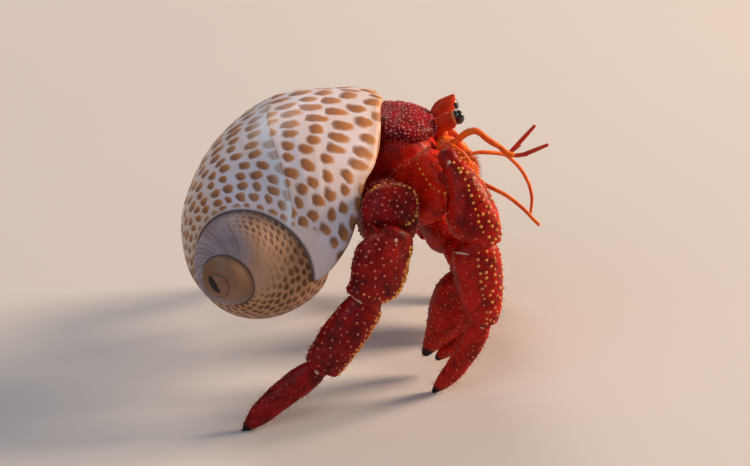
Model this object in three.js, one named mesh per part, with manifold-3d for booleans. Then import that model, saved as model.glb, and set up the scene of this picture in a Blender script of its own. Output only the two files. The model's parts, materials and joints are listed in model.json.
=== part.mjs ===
// A land hermit crab walking with a spotted snail shell on its back, life size, as one still figure.
// Lengths are in millimetres. +X is the way the crab walks, -Y is its right side and +Z is up.
// Pieces are laid out in the crab's own frame: x forward, y from the right rear foot towards the left
// side, z up from the ground. The group at the end brings the figure's middle to x = 0, y = 0.
import * as THREE from "three";
import { mergeVertices } from "three/addons/utils/BufferGeometryUtils.js";
import Module from "manifold-3d";

const wasm = await Module();
wasm.setup();

// ---------------------------------------------------------------- driving sizes
const GAP = 0.3; // clear space left between two neighbouring pieces
const MIDLINE = 33; // y of the crab's plane of symmetry
const CENTRE_X = 63.77; // x that becomes the middle of the figure
const CENTRE_Y = 31.78; // y that becomes the middle of the figure
const FOOT_RADIUS = 0.55; // half width of the small flat under each foot
const LIMB_POINTS = 10; // points round a leg or a claw
const FEELER_POINTS = 8; // points round a feeler

// Shell: every whorl is the same oval, turned about the shell's axis and grown at a constant rate.
const SHELL_APEX = [36.6, -2.9, 25.0]; // where the shell's axis meets its tip
const SHELL_AXIS = [0.4317, 0.8985, 0.0795]; // from the tip towards the base
const LIP_CORNER_WAY = [0.8689, -0.3906, -0.304]; // from the axis to the corner of the lip
const WHORL_GROWTH = 2.217; // size of a whorl over the one before it
const OVAL_FROM_AXIS = 6.97; // oval's middle from the axis, at the lip
const OVAL_FROM_APEX = 52.17; // oval's middle from the tip along the axis, at the lip
const OVAL_HALF_WIDTH = 19.28;
const OVAL_HALF_SPIRE = 34.67; // half height on the spire's side
const OVAL_HALF_BASE = 10.71; // half height on the base's side
const OVAL_FULLNESS = 0.94; // under 1 makes the flank fuller than an ellipse
const CORE_RADIUS = 0.5; // solid core round the axis, at the lip
const SHELL_WALL = 1.35; // wall at the lip
const TIP_BLUNTNESS = 5.2; // length of the sharp tip that is rounded away
const PILLAR = [
  [0.5, 0.8],
  [3, 2],
  [8, 1.4],
  [30, 1.7],
  [37, 1.5],
  [40, 0.6],
]; // distance from the sharp tip along the axis, and radius
const WHORLS = 3;
const STEPS_PER_WHORL = 24;
const OVAL_POINTS = 22;
const SUTURE_ANGLE = -1.363; // where the oval meets the whorl before, 0 is outward
const LIP_TRAIL = 1.44; // radians by which the lip trails its corner
const LIP_TRAIL_REACH = 0.757; // radians along the oval over which it falls back
const LIP_TRAIL_SHAPE = 1.21;
const MOUTH_STEPS = 13; // steps the hollow runs back from the lip
const SPIRE_END_STEP = -17; // last step of the whorl that lies under the hollow

// Body
const SHIELD_EDGE_Z = 42.4;
const SHIELD_POINTS = 13;
const SHIELD = [
  [64.4, 5.4, 43.9],
  [66.4, 6.9, 44.6],
  [69.2, 7.3, 45.8],
  [72, 6.9, 45.3],
  [74.4, 5.4, 44.2],
  [75.5, 3.4, 43.3],
]; // x, half width and top of the shield from back to brow

// ---------------------------------------------------------------- colours
const material = (colour, roughness) =>
  new THREE.MeshStandardMaterial({ color: colour, roughness, metalness: 0 });
const COLOURS = {
  shell: [0xe6d9cf, 0.35],
  body: [0x8c1420, 0.45],
  leg: [0xa01518, 0.42],
  claw: [0x96131a, 0.42],
  feeler: [0xd4591c, 0.5],
  eye: [0x0c0a0c, 0.15],
  flesh: [0x7c3428, 0.6],
};

// ---------------------------------------------------------------- solids
/** Closed skin over a row of rings with equal numbers of points, a fan over each end. */
function loft(rings, first, last) {
  const n = rings[0].length;
  const points = [...rings.flat(), first, last];
  const tail = rings.length * n;
  const faces = [];
  for (let i = 0; i + 1 < rings.length; i += 1) {
    for (let j = 0; j < n; j += 1) {
      const [a, b] = [i * n + j, i * n + ((j + 1) % n)];
      faces.push(a, b, b + n, a, b + n, a + n);
    }
  }
  for (let j = 0; j < n; j += 1) {
    const k = (j + 1) % n;
    faces.push(tail, k, j);
    faces.push(tail + 1, tail - n + j, tail - n + k);
  }
  const geometry = new THREE.BufferGeometry();
  geometry.setAttribute("position", new THREE.Float32BufferAttribute(points.flatMap((p) => p.toArray()), 3));
  geometry.setIndex(faces);
  return geometry;
}

/** The same surface as a manifold solid, for cutting and joining. */
function solidOf(geometry) {
  const merged = mergeVertices(geometry, 1e-4);
  return new wasm.Manifold(
    new wasm.Mesh({
      numProp: 3,
      vertProperties: new Float32Array(merged.attributes.position.array),
      triVerts: new Uint32Array(merged.index.array),
    }),
  );
}

/** A manifold solid as a three.js geometry with flat faces. */
function geometryOf(solid) {
  const mesh = solid.getMesh();
  const geometry = new THREE.BufferGeometry();
  geometry.setAttribute("position", new THREE.BufferAttribute(new Float32Array(mesh.vertProperties), 3));
  geometry.setIndex(new THREE.BufferAttribute(new Uint32Array(mesh.triVerts), 1));
  return geometry;
}

const object = new THREE.Group();
object.name = "hermit_crab";

/** Adds one named piece, given as a geometry or as a manifold solid. */
function add(name, shape, colour) {
  const geometry = (shape.isBufferGeometry ? shape : geometryOf(shape)).toNonIndexed();
  geometry.computeVertexNormals();
  const mesh = new THREE.Mesh(geometry, material(...COLOURS[colour]));
  mesh.name = name;
  object.add(mesh);
}

// ---------------------------------------------------------------- shell
const apex = new THREE.Vector3(...SHELL_APEX);
const axis = new THREE.Vector3(...SHELL_AXIS).normalize();
const outward = new THREE.Vector3(...LIP_CORNER_WAY).normalize();
const onward = new THREE.Vector3().crossVectors(axis, outward);
const growthRate = Math.log(WHORL_GROWTH) / (2 * Math.PI);
const smooth = (x, low, high) => THREE.MathUtils.smoothstep(x, low, high);

/** Distance from the sharp tip once the tip is rounded away. */
const blunted = (height) => Math.hypot(height, TIP_BLUNTNESS);

/** How far a growth line trails at a place on the oval; it comes back to nothing inside the whorl. */
function trail(angle) {
  const along = angle - SUTURE_ANGLE;
  const back = 1 - Math.exp(-((along / LIP_TRAIL_REACH) ** LIP_TRAIL_SHAPE));
  return LIP_TRAIL * back * (1 - smooth(along, 1.45 * Math.PI, 2 * Math.PI));
}

/** Point of the whorl's oval, turned about the axis; inset pulls it in, share draws it to the middle. */
function ovalPoint(turn, angle, inset, share) {
  const size = Math.exp(growthRate * turn);
  const c = Math.cos(angle);
  const s = Math.sin(angle);
  const bulge = Math.sign(c) * Math.abs(c) ** OVAL_FULLNESS * (OVAL_HALF_WIDTH - inset);
  const middle = OVAL_FROM_AXIS + 4;
  const rim = Math.max(OVAL_FROM_AXIS + bulge, CORE_RADIUS + inset);
  const half = (s < 0 ? OVAL_HALF_SPIRE : OVAL_HALF_BASE) - inset;
  const radius = THREE.MathUtils.lerp(middle, rim, share) * size;
  const height = (OVAL_FROM_APEX - 6 * (1 - share) + half * s * share) * size;
  return apex
    .clone()
    .addScaledVector(axis, blunted(height))
    .addScaledVector(outward, radius * Math.cos(turn))
    .addScaledVector(onward, radius * Math.sin(turn));
}

/** One growth line: the oval with its trailing shape, at a place along the spiral. */
function growthLine(at, inset, share) {
  return Array.from({ length: OVAL_POINTS }, (_, j) => {
    const angle = SUTURE_ANGLE + 2 * Math.PI * (1 - j / OVAL_POINTS);
    const slant = THREE.MathUtils.lerp(LIP_TRAIL * 0.85, trail(angle), share);
    return ovalPoint(at - slant, angle, inset, share);
  });
}

/** A length of whorl between two numbered steps of the spiral, closed by dished ends. */
function whorl(from, to, inset) {
  const stepAngle = (2 * Math.PI) / STEPS_PER_WHORL;
  const line = (step, share) => growthLine(step * stepAngle, inset, share);
  const dish = [0.35, 0.7];
  const rings = dish.map((share) => line(from, share));
  for (let step = from; step <= to; step += 1) rings.push(line(step, 1));
  rings.push(line(to, dish[1]), line(to, dish[0]));
  const middle = (step) => ovalPoint(step * stepAngle - LIP_TRAIL * 0.85, 0, inset, 0);
  return solidOf(loft(rings, middle(from), middle(to)));
}

/** Several lengths of whorl joined, each starting one step before the last one ends. */
function whorls(from, to, inset) {
  const length = Math.round(STEPS_PER_WHORL / 3);
  let joined = whorl(from, Math.min(from + length, to), inset);
  for (let at = from + length; at < to; at += length) {
    joined = joined.add(whorl(at - 1, Math.min(at + length, to), inset));
  }
  return joined;
}

/** The solid pillar round the axis that all whorls wind on. */
function pillar(grow = 0) {
  const side = new THREE.Vector3().crossVectors(axis, new THREE.Vector3(0, 0, 1)).normalize();
  const across = new THREE.Vector3().crossVectors(axis, side);
  const along = (height) => apex.clone().addScaledVector(axis, blunted(height));
  const rings = PILLAR.map(([height, radius]) =>
    Array.from({ length: 10 }, (_, j) =>
      along(height)
        .addScaledVector(side, (radius + grow) * Math.cos((Math.PI * j) / 5))
        .addScaledVector(across, (radius + grow) * Math.sin((Math.PI * j) / 5)),
    ),
  );
  return solidOf(loft(rings, along(PILLAR[0][0]), along(PILLAR[PILLAR.length - 1][0])));
}

const firstStep = -WHORLS * STEPS_PER_WHORL;
const spire = whorls(firstStep, SPIRE_END_STEP, 0).add(pillar());
const hollow = whorls(-MOUTH_STEPS, 1, SHELL_WALL).subtract(spire);
const shell = whorls(firstStep, 0, 0).add(pillar()).subtract(hollow);
add("shell", shell, "shell");

// ---------------------------------------------------------------- tapered pieces
/** Ring of an oval across a path: depth along the piece's height, thick along its broad side's normal. */
function crossRing(centre, along, broad, depth, thick, count) {
  const side = broad.clone().addScaledVector(along, -broad.dot(along)).normalize();
  const height = new THREE.Vector3().crossVectors(side, along);
  return Array.from({ length: count }, (_, j) => {
    const around = (2 * Math.PI * j) / count;
    return centre
      .clone()
      .addScaledVector(height, depth * Math.cos(around))
      .addScaledVector(side, thick * Math.sin(around));
  });
}

/** Level ring on the ground, started on the same side as the ring above it. */
function footRing(centre, above, count) {
  const first = above[0].clone().sub(centre).setZ(0).normalize();
  const second = new THREE.Vector3(0, 0, -1).cross(first);
  return Array.from({ length: count }, (_, j) => {
    const around = (2 * Math.PI * j) / count;
    return new THREE.Vector3(centre.x, centre.y, 0)
      .addScaledVector(first, FOOT_RADIUS * Math.cos(around))
      .addScaledVector(second, FOOT_RADIUS * Math.sin(around));
  });
}

/** Solid along stations [x, y, z, depth, thick]; grow swells it, foot ends it on the ground. */
function limb(stations, broadWay, { grow = 0, foot = false, count = LIMB_POINTS } = {}) {
  const broad = new THREE.Vector3(...broadWay);
  const centres = stations.map(([x, y, z]) => new THREE.Vector3(x, y, z));
  const end = centres.length - 1;
  const along = centres.map((_, i) =>
    centres[Math.min(i + 1, end)].clone().sub(centres[Math.max(i - 1, 0)]).normalize(),
  );
  centres[0].addScaledVector(along[0], -grow);
  if (!foot) centres[end].addScaledVector(along[end], grow);
  const rings = stations.map(([, , , depth, thick], i) =>
    crossRing(centres[i], along[i], broad, depth + grow, thick + grow, count),
  );
  if (foot) {
    rings[end] = footRing(centres[end], rings[end - 1], count);
    centres[end].setZ(0);
  }
  return solidOf(loft(rings, centres[0], centres[end]));
}

/** Stations of one leg joint: a neck, a fuller middle that bows, and a firm far end. */
function segment(from, to, depth, thick, bow = [0, 0, 0], neck = 0.8) {
  const shape = [
    [0, neck],
    [0.15, 0.51 + 0.58 * neck],
    [0.6, 1.06],
    [1, 0.94],
  ];
  return shape.map(([share, size]) => {
    const swell = 4 * share * (1 - share);
    const at = from.map((value, i) => value + (to[i] - value) * share + bow[i] * swell);
    return [...at, depth * size, thick * size];
  });
}

/** Stations of a pointed leg tip, from its wrist to the ground. */
function claw(from, to, depth, thick, bow) {
  const shape = [
    [0, 0.72],
    [0.12, 0.97],
    [0.45, 1],
    [0.76, 0.86],
    [0.94, 0.42],
    [1, 0.2],
  ];
  return shape.map(([share, size]) => {
    const swell = 4 * share * (1 - share);
    const at = from.map((value, i) => value + (to[i] - value) * share + bow[i] * swell);
    return [...at, depth * size, thick * size];
  });
}

const swollen = new Map();

/** Adds a tapered piece, cut back where it would come within GAP of the pieces before it. */
function addFitted(name, stations, broad, colour, options = {}) {
  let solid = limb(stations, broad, options);
  for (const other of swollen.values()) solid = solid.subtract(other);
  swollen.set(name, limb(stations, broad, { ...options, grow: GAP }));
  add(name, solid, colour);
}

// ---------------------------------------------------------------- body
addFitted(
  "cephalothorax",
  [
    [57.5, MIDLINE, 31, 4.2, 4],
    [61, MIDLINE, 33, 7.4, 5.8],
    [66, MIDLINE, 33.7, 8.1, 7],
    [71, MIDLINE, 33.7, 8.1, 7],
    [74.8, MIDLINE, 34.4, 7.2, 6],
    [77.4, MIDLINE, 35.6, 5, 4],
  ],
  [0, 1, 0],
  "body",
  { count: 12 },
);

/** The shield, the hard plate on the back: a low dome with a level rim, narrowing to the brow. */
function shield(grow) {
  const rings = SHIELD.map(([x, halfWidth, top]) =>
    Array.from({ length: SHIELD_POINTS }, (_, j) => {
      const around = (Math.PI * j) / (SHIELD_POINTS - 1);
      const rise = (top + 2 * grow - SHIELD_EDGE_Z) * Math.sin(around) ** 0.8 - grow;
      return new THREE.Vector3(x, MIDLINE + (halfWidth + grow) * Math.cos(around), SHIELD_EDGE_Z + rise);
    }),
  );
  const last = rings.length - 1;
  rings[last].forEach((point) => point.setX(point.x + grow));
  const middle = (x) => new THREE.Vector3(x, MIDLINE, SHIELD_EDGE_Z + 0.4);
  return solidOf(loft(rings, middle(SHIELD[0][0]), middle(SHIELD[last][0] + grow)));
}

// The shield runs in under the shell's lip, so it is cut back to clear the lip's wall.
const lipRoom = whorls(-8, 0, -0.4).subtract(whorls(-10, 2, SHELL_WALL + 0.4));
add("carapace_shield", shield(0).subtract(lipRoom), "body");
swollen.set("carapace_shield", shield(GAP));

// Soft hind body: fills the whorl behind the crab's back.
const softBody = whorls(-9, -2, SHELL_WALL + 0.6)
  .subtract(whorls(firstStep, SPIRE_END_STEP, -1.5))
  .subtract(pillar(0.5))
  .subtract(swollen.get("cephalothorax"))
  .subtract(swollen.get("carapace_shield"));
add("abdomen", softBody, "flesh");

// ---------------------------------------------------------------- head
/** Moves a right-hand station list to the left-hand side of the crab. */
const mirrored = (stations) => stations.map(([x, y, z, ...sizes]) => [x, 2 * MIDLINE - y, z, ...sizes]);

const fine = { count: FEELER_POINTS };
const EYE_BROAD = [0.2, 1, 0];

addFitted(
  "eyestalk_right",
  [
    [74.9, 31.8, 43, 1, 0.8],
    [77, 31.3, 43.6, 1.6, 0.95],
    [78.5, 30.9, 44.1, 1.5, 0.95],
    [79, 30.8, 44.3, 1.1, 0.8],
  ],
  EYE_BROAD,
  "leg",
  fine,
);
addFitted(
  "cornea_right",
  [
    [79.3, 30.7, 44.4, 0.8, 0.6],
    [79.6, 30.6, 44.5, 1.15, 0.9],
    [80.1, 30.5, 44.7, 0.9, 0.7],
  ],
  EYE_BROAD,
  "eye",
  fine,
);
addFitted(
  "eyestalk_left",
  [
    [74.9, 34.2, 43, 1.1, 0.8],
    [76.6, 34.9, 44.1, 1.8, 0.95],
    [77.9, 35.4, 45.2, 1.5, 0.95],
    [78.5, 35.6, 46, 0.9, 0.8],
  ],
  EYE_BROAD,
  "leg",
  fine,
);
addFitted(
  "cornea_left",
  [
    [78.9, 35.7, 46.3, 0.5, 0.6],
    [79.2, 35.8, 45.4, 0.7, 0.9],
    [79.5, 35.8, 44.4, 0.5, 0.6],
  ],
  EYE_BROAD,
  "eye",
  fine,
);

// Each feeler is a jointed stem and a whip: stations are x, y, z, depth, thick.
const FEELERS = {
  antennule_right_stem: [
    [76.9, 31.8, 38.2, 0.6, 0.6],
    [79.8, 31.3, 40.2, 0.52, 0.5],
    [81.3, 31, 41.9, 0.5, 0.5],
    [82.3, 31, 41.9, 0.5, 0.5],
    [85.4, 31, 39.7, 0.42, 0.4],
    [89, 31.1, 37, 0.42, 0.4],
  ],
  antennule_right_whip: [
    [89.5, 31.1, 36.9, 0.42, 0.36],
    [92.3, 31, 38.1, 0.44, 0.36],
    [95, 31, 39.3, 0.26, 0.25],
  ],
  antennule_left_stem: [
    [76.9, 34.4, 37.6, 0.6, 0.6],
    [79.8, 34.8, 38.8, 0.52, 0.5],
    [81.3, 35, 40.4, 0.5, 0.5],
    [82.3, 35, 40.4, 0.5, 0.5],
    [85.2, 35, 38.4, 0.42, 0.4],
    [88.6, 35, 35.9, 0.42, 0.4],
  ],
  antennule_left_whip: [
    [88.8, 35, 36.5, 0.42, 0.36],
    [90.8, 35, 38.9, 0.44, 0.36],
    [92.9, 35, 41.4, 0.26, 0.25],
  ],
  antenna_right_stem: [
    [75.8, 29.2, 38.4, 1.1, 0.8],
    [79, 27.7, 37.2, 1.2, 0.9],
    [81, 26.8, 35.9, 1, 0.8],
    [82.6, 26, 34.6, 0.75, 0.6],
  ],
  antenna_right_whip: [
    [82.9, 25.8, 34.1, 0.45, 0.4],
    [84.8, 25.4, 33.5, 0.42, 0.4],
    [86.6, 25, 32.9, 0.4, 0.38],
    [88.6, 24.5, 31.7, 0.38, 0.36],
    [90.7, 23.8, 30.1, 0.36, 0.34],
    [93.2, 22.7, 27.6, 0.32, 0.3],
  ],
  antenna_left_stem: [
    [75.8, 36.8, 38.4, 1.1, 0.8],
    [79, 38.2, 37.2, 1.2, 0.9],
    [80.6, 38.6, 35.8, 1, 0.8],
    [81.9, 38.9, 34.4, 0.75, 0.6],
  ],
  antenna_left_whip: [
    [82.3, 39, 34.2, 0.4, 0.38],
    [84.2, 39.5, 35.1, 0.4, 0.38],
    [86, 40, 34.8, 0.4, 0.36],
    [88.4, 41, 33.6, 0.38, 0.36],
    [91.1, 42.5, 30.3, 0.36, 0.34],
    [92.6, 43.5, 27, 0.34, 0.32],
    [93.2, 44, 23.9, 0.32, 0.3],
    [92.7, 44.3, 21.2, 0.28, 0.27],
  ],
};
for (const side of ["right", "left"]) {
  for (const kind of ["antennule", "antenna"]) {
    const stem = `${kind}_${side}_stem`;
    const whip = `${kind}_${side}_whip`;
    addFitted(stem, FEELERS[stem], [0, 1, 0.1], "feeler", fine);
    addFitted(whip, FEELERS[whip], [0, 1, 0.1], "feeler", fine);
  }
}

const MOUTH_LEG = [
  [77.9, 31.4, 34.2, 1.1, 0.9],
  [79.8, 31.4, 35.6, 1.3, 1],
  [81.6, 31.5, 35.2, 1.2, 1],
  [82.3, 31.6, 33.4, 1, 0.9],
  [82, 31.7, 31, 0.7, 0.6],
];
addFitted("maxilliped_right", MOUTH_LEG, [0, 1, 0], "leg", fine);
addFitted("maxilliped_left", mirrored(MOUTH_LEG), [0, 1, 0], "leg", fine);

// ---------------------------------------------------------------- walking legs
/** Adds the five joints of one walking leg; the last one stands on the ground. */
function walkingLeg(name, joints) {
  for (const [part, { stations, from, to, depth, thick, bow, broad, neck }] of Object.entries(joints)) {
    const foot = part === "dactylus";
    const shape = foot ? claw : segment;
    const line = stations ?? shape(from, to, depth, thick, bow, neck);
    addFitted(`${name}_${part}`, line, broad, "leg", { foot });
  }
}

walkingLeg("leg2_right", {
  ischium: { from: [71, 27.4, 27.2], to: [69.3, 25.6, 28.8], depth: 3.2, thick: 2.4, broad: [1, 0.6, 0] },
  merus: { from: [69, 25.1, 29.2], to: [76.1, 17.1, 38.9], depth: 4.9, thick: 2.8, broad: [0.6, 0.8, 0] },
  carpus: {
    stations: [
      [77.6, 14.9, 42.6, 1.3, 1.1],
      [79.3, 13.8, 39.4, 2.6, 2.1],
      [80.7, 12.9, 36.3, 3.5, 2.8],
      [82, 11.7, 31.8, 4.2, 3],
      [82.1, 11.4, 29.5, 3.9, 2.8],
    ],
    broad: [-0.3, 1, 0.3],
  },
  propodus: {
    stations: [
      [81.8, 11.5, 28.7, 3.5, 2.4],
      [82.2, 11.7, 25, 4, 2.7],
      [83, 12.1, 20, 3.6, 2.6],
      [83.5, 12.4, 16.4, 2.9, 2.2],
      [83.5, 12.6, 14.7, 2.3, 1.9],
    ],
    broad: [0, 1, 0],
  },
  dactylus: {
    from: [83.3, 12.8, 14.1],
    to: [75.1, 14.9, 0],
    depth: 2,
    thick: 1.6,
    bow: [0.9, 0, -0.3],
    broad: [0, 1, 0],
  },
});
walkingLeg("leg3_right", {
  ischium: { from: [67.2, 27.2, 27.6], to: [66, 25, 29], depth: 3.1, thick: 2.2, broad: [1, 0.3, 0] },
  merus: {
    from: [65.8, 24.4, 29.4],
    to: [68.2, 9.9, 34.9],
    depth: 5.1,
    thick: 4.9,
    broad: [1, 0.3, 0],
    neck: 0.62,
  },
  carpus: { from: [67.6, 7.6, 31.6], to: [64.4, 5.2, 22], depth: 4.4, thick: 2.8, broad: [-0.3, 1, 0.3] },
  propodus: { from: [64, 5.1, 21.2], to: [56.3, 3.2, 10.4], depth: 3.3, thick: 2.3, broad: [0, 1, 0] },
  dactylus: {
    from: [55.8, 3, 9.8],
    to: [43.3, 0, 0],
    depth: 2.5,
    thick: 1.8,
    bow: [0.2, 0, 0.9],
    broad: [0, 1, 0],
  },
});
walkingLeg("leg2_left", {
  ischium: { from: [71, 38.8, 27], to: [70.2, 41.4, 27], depth: 3.1, thick: 2.2, broad: [1, 0, 0] },
  merus: { from: [70.2, 42, 27.1], to: [70.6, 55.4, 30.4], depth: 4.6, thick: 2.7, broad: [1, 0, 0] },
  carpus: { from: [71.4, 57.4, 30.2], to: [78.6, 59.4, 24.6], depth: 3.9, thick: 2.7, broad: [0, -1, 0.4] },
  propodus: { from: [79.3, 59.6, 23.8], to: [83, 60.4, 11], depth: 3.3, thick: 2.3, broad: [0, -1, 0.2] },
  dactylus: {
    from: [83.1, 60.2, 10.4],
    to: [78.3, 53, 0],
    depth: 2.3,
    thick: 1.7,
    bow: [0.9, 0.9, 0.3],
    broad: [0.6, -1, 0],
  },
});
walkingLeg("leg3_left", {
  ischium: { from: [67.6, 38.8, 27], to: [66.9, 41.4, 26.8], depth: 3, thick: 1.5, broad: [1, 0, 0] },
  merus: { from: [66.6, 42, 26.9], to: [62.4, 55.4, 30.4], depth: 4.4, thick: 2.6, broad: [1, 0.3, 0] },
  carpus: { from: [61.6, 57.2, 29.8], to: [56.6, 60.6, 21.6], depth: 3.9, thick: 2.6, broad: [0, -1, 0] },
  propodus: { from: [56.2, 60.9, 20.8], to: [52.1, 62.4, 10.3], depth: 3.1, thick: 2.2, broad: [0, -1, 0] },
  dactylus: {
    from: [51.7, 62.4, 9.6],
    to: [41.5, 60.5, 0],
    depth: 2.4,
    thick: 1.7,
    bow: [0.2, 0.4, 0.8],
    broad: [0, -1, 0],
  },
});

// ---------------------------------------------------------------- claw arms
/** Adds one claw arm: three joints, then a palm with its fixed finger, and the free finger. */
function clawArm(name, joints) {
  for (const [part, { bones, stations, broad }] of Object.entries(joints)) {
    addFitted(`${name}_${part}`, stations ?? segment(...bones), broad, "claw");
  }
}

clawArm("cheliped_right", {
  ischium: { bones: [[73.4, 30.4, 27], [74.2, 27.6, 24.9], 2.4, 2], broad: [1, 0, 0] },
  merus: { bones: [[74.4, 26.9, 24.8], [78.6, 22.6, 26.2], 4.2, 2.5], broad: [-0.3, 1, 0] },
  carpus: { bones: [[79.6, 21.5, 25.8], [82.2, 20.9, 21.2], 3.6, 3], broad: [-0.3, 1, 0] },
  palm: {
    stations: [
      [82, 21, 19.9, 2.8, 2.3],
      [81, 21.3, 17.2, 4.4, 3.1],
      [79.2, 21.8, 12.8, 4.8, 3.1],
      [77.1, 22.2, 9.2, 3.3, 2.5],
      [75.6, 22.5, 6.6, 1.9, 1.6],
      [73.7, 22.7, 3.5, 0.6, 0.6],
    ],
    broad: [-0.2, 1, 0],
  },
  finger: {
    stations: [
      [81.2, 22.2, 9.4, 1.7, 1.5],
      [80, 22.4, 7.2, 2, 1.6],
      [77.9, 22.7, 4.6, 1.4, 1.2],
      [75.8, 22.9, 2.6, 0.5, 0.5],
    ],
    broad: [-0.2, 1, 0],
  },
});
clawArm("cheliped_left", {
  ischium: { bones: [[73.4, 35.6, 27], [74.2, 38.4, 24.9], 2.6, 2.2], broad: [1, 0, 0] },
  merus: { bones: [[74.4, 39.1, 24.8], [78.4, 44.2, 26.4], 4.6, 2.9], broad: [0.3, 1, 0] },
  carpus: { bones: [[79.4, 45.2, 26], [82.4, 44.6, 21.4], 4.4, 3.7], broad: [1, -0.6, 0] },
  palm: {
    stations: [
      [82.5, 44, 20.2, 3.6, 2.8],
      [82.7, 43.1, 17, 6.4, 3.9],
      [82.5, 42.1, 12.6, 6.7, 3.9],
      [82, 40.2, 8.8, 4.6, 3.1],
      [81.4, 38.4, 5.8, 2.4, 2],
      [80.6, 37, 2, 0.6, 0.6],
    ],
    broad: [1, -0.1, 0],
  },
  finger: {
    stations: [
      [82.2, 45.2, 9.2, 2.4, 2],
      [82, 44.2, 6.8, 2.6, 2.1],
      [81.5, 42.2, 4.2, 1.9, 1.6],
      [80.9, 39.6, 1.4, 0.6, 0.6],
    ],
    broad: [1, -0.1, 0],
  },
});

const centre = new THREE.Group();
centre.name = "figure";
object.position.set(-CENTRE_X, -CENTRE_Y, 0);
centre.add(object);

export default centre;
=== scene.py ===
# %% [markdown]
# # A strawberry land hermit crab, walking with a spotted snail shell on its back
# The CAD model already holds every piece at its real size: the shell, the shield, each leg joint by joint,
# the claws, eyes and feelers.  This lesson gives those pieces their finish.  Almost everything is a grid
# surface: a function of two numbers, worked out as whole arrays, put into a mesh in one go.  +X is the way
# the crab walks, its right side faces -Y, and the floor is z = 0.  The scene is in metres, but a crab is
# small, so the shapes are worked out in millimetres and scaled as they become meshes.

import json
import math

import bmesh
import bpy
import numpy as np
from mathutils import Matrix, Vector

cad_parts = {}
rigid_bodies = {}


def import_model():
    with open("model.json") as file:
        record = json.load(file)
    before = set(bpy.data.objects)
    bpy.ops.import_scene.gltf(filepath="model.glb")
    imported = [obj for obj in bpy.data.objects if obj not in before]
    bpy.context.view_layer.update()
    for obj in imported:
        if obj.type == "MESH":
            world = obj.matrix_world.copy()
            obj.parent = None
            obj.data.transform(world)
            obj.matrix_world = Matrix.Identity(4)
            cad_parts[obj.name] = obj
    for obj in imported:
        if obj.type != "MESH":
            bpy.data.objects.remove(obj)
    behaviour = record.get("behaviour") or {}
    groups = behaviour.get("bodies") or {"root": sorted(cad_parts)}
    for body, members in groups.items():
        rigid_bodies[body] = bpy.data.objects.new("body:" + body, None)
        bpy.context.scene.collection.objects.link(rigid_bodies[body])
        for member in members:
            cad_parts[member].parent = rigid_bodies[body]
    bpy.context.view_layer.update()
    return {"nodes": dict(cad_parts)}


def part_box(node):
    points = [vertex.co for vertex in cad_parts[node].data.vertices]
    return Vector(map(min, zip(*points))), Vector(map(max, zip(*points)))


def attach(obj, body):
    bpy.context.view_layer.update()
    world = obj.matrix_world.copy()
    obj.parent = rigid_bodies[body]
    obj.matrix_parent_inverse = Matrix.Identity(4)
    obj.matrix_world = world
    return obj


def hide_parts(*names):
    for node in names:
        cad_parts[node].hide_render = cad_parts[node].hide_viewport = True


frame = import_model()
MM = 0.001

# %% [markdown]
# ## Camera and light
# The crab is seen from its right side and from a little above, with a long lens, so that nothing looks
# stretched.  Low warm light comes from in front of the crab and behind it, as near sunset, and a wide cool
# light fills the shadows from the camera's side.  Large lamps keep every shadow soft.

# %% Camera
ELEVATION = math.radians(22)
LENS = 135.0
SENSOR = 36.0
VIEW_WIDTH = 130.4 * MM
LOOK_AT = Vector((0.00145, 0.0, 0.0226))
NEAREST = 0.01


def add(name, data):
    """A new object at the origin of the scene."""
    thing = bpy.data.objects.new(name, data)
    bpy.context.scene.collection.objects.link(thing)
    return thing


def aim(thing, place, way):
    """Stands a camera or lamp at place, and turns it to look along way."""
    thing.location = place
    thing.rotation_mode = "QUATERNION"
    thing.rotation_quaternion = Vector(way).to_track_quat("-Z", "Y")


camera_data = bpy.data.cameras.new("camera")
camera_data.lens = LENS
camera_data.sensor_width = SENSOR
camera_data.clip_start = NEAREST
camera = add("camera", camera_data)
backwards = Vector((0.0, -math.cos(ELEVATION), math.sin(ELEVATION)))
aim(camera, LOOK_AT + backwards * (VIEW_WIDTH * LENS / SENSOR), -backwards)
bpy.context.scene.camera = camera
print("camera stands", round((camera.location - LOOK_AT).length, 3), "m away")

# %% Lights
MIDDLE = Vector((0.0, 0.0, 0.025))
# (name, place, side of the square, watts, colour); the larger its side, the softer a lamp's shadows
LAMPS = [
    ("warm_key", (1.2, 0.36, 0.56), 0.42, 33.0, (1.0, 0.72, 0.48)),
    ("cool_fill", (-0.50, -0.95, 0.80), 0.90, 4.0, (0.80, 0.87, 1.0)),
    ("top_rim", (-0.35, 0.95, 1.05), 0.60, 7.0, (1.0, 0.86, 0.74)),
]
for name, place, side, watts, colour in LAMPS:
    lamp_data = bpy.data.lights.new(name, "AREA")
    lamp_data.size, lamp_data.energy, lamp_data.color = side, watts, colour
    aim(add(name, lamp_data), place, MIDDLE - Vector(place))

world = bpy.data.worlds.new("studio")
world.use_nodes = True
background = world.node_tree.nodes["Background"].inputs
background["Color"].default_value = (0.78, 0.84, 0.95, 1)
background["Strength"].default_value = 0.20
bpy.context.scene.world = world
bpy.context.scene.view_settings.view_transform = "Standard"

# %% [markdown]
# ## Helpers for meshes and materials
# A grid is points[row, column, xyz].  Its quads join each point to its neighbours, and a fan closes each
# end, so the mesh has no holes.  Its UV map runs along the rows and columns.  Materials are written as
# short lists of nodes: wire() adds one node and fills its inputs with numbers or with other nodes' sockets.


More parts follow.
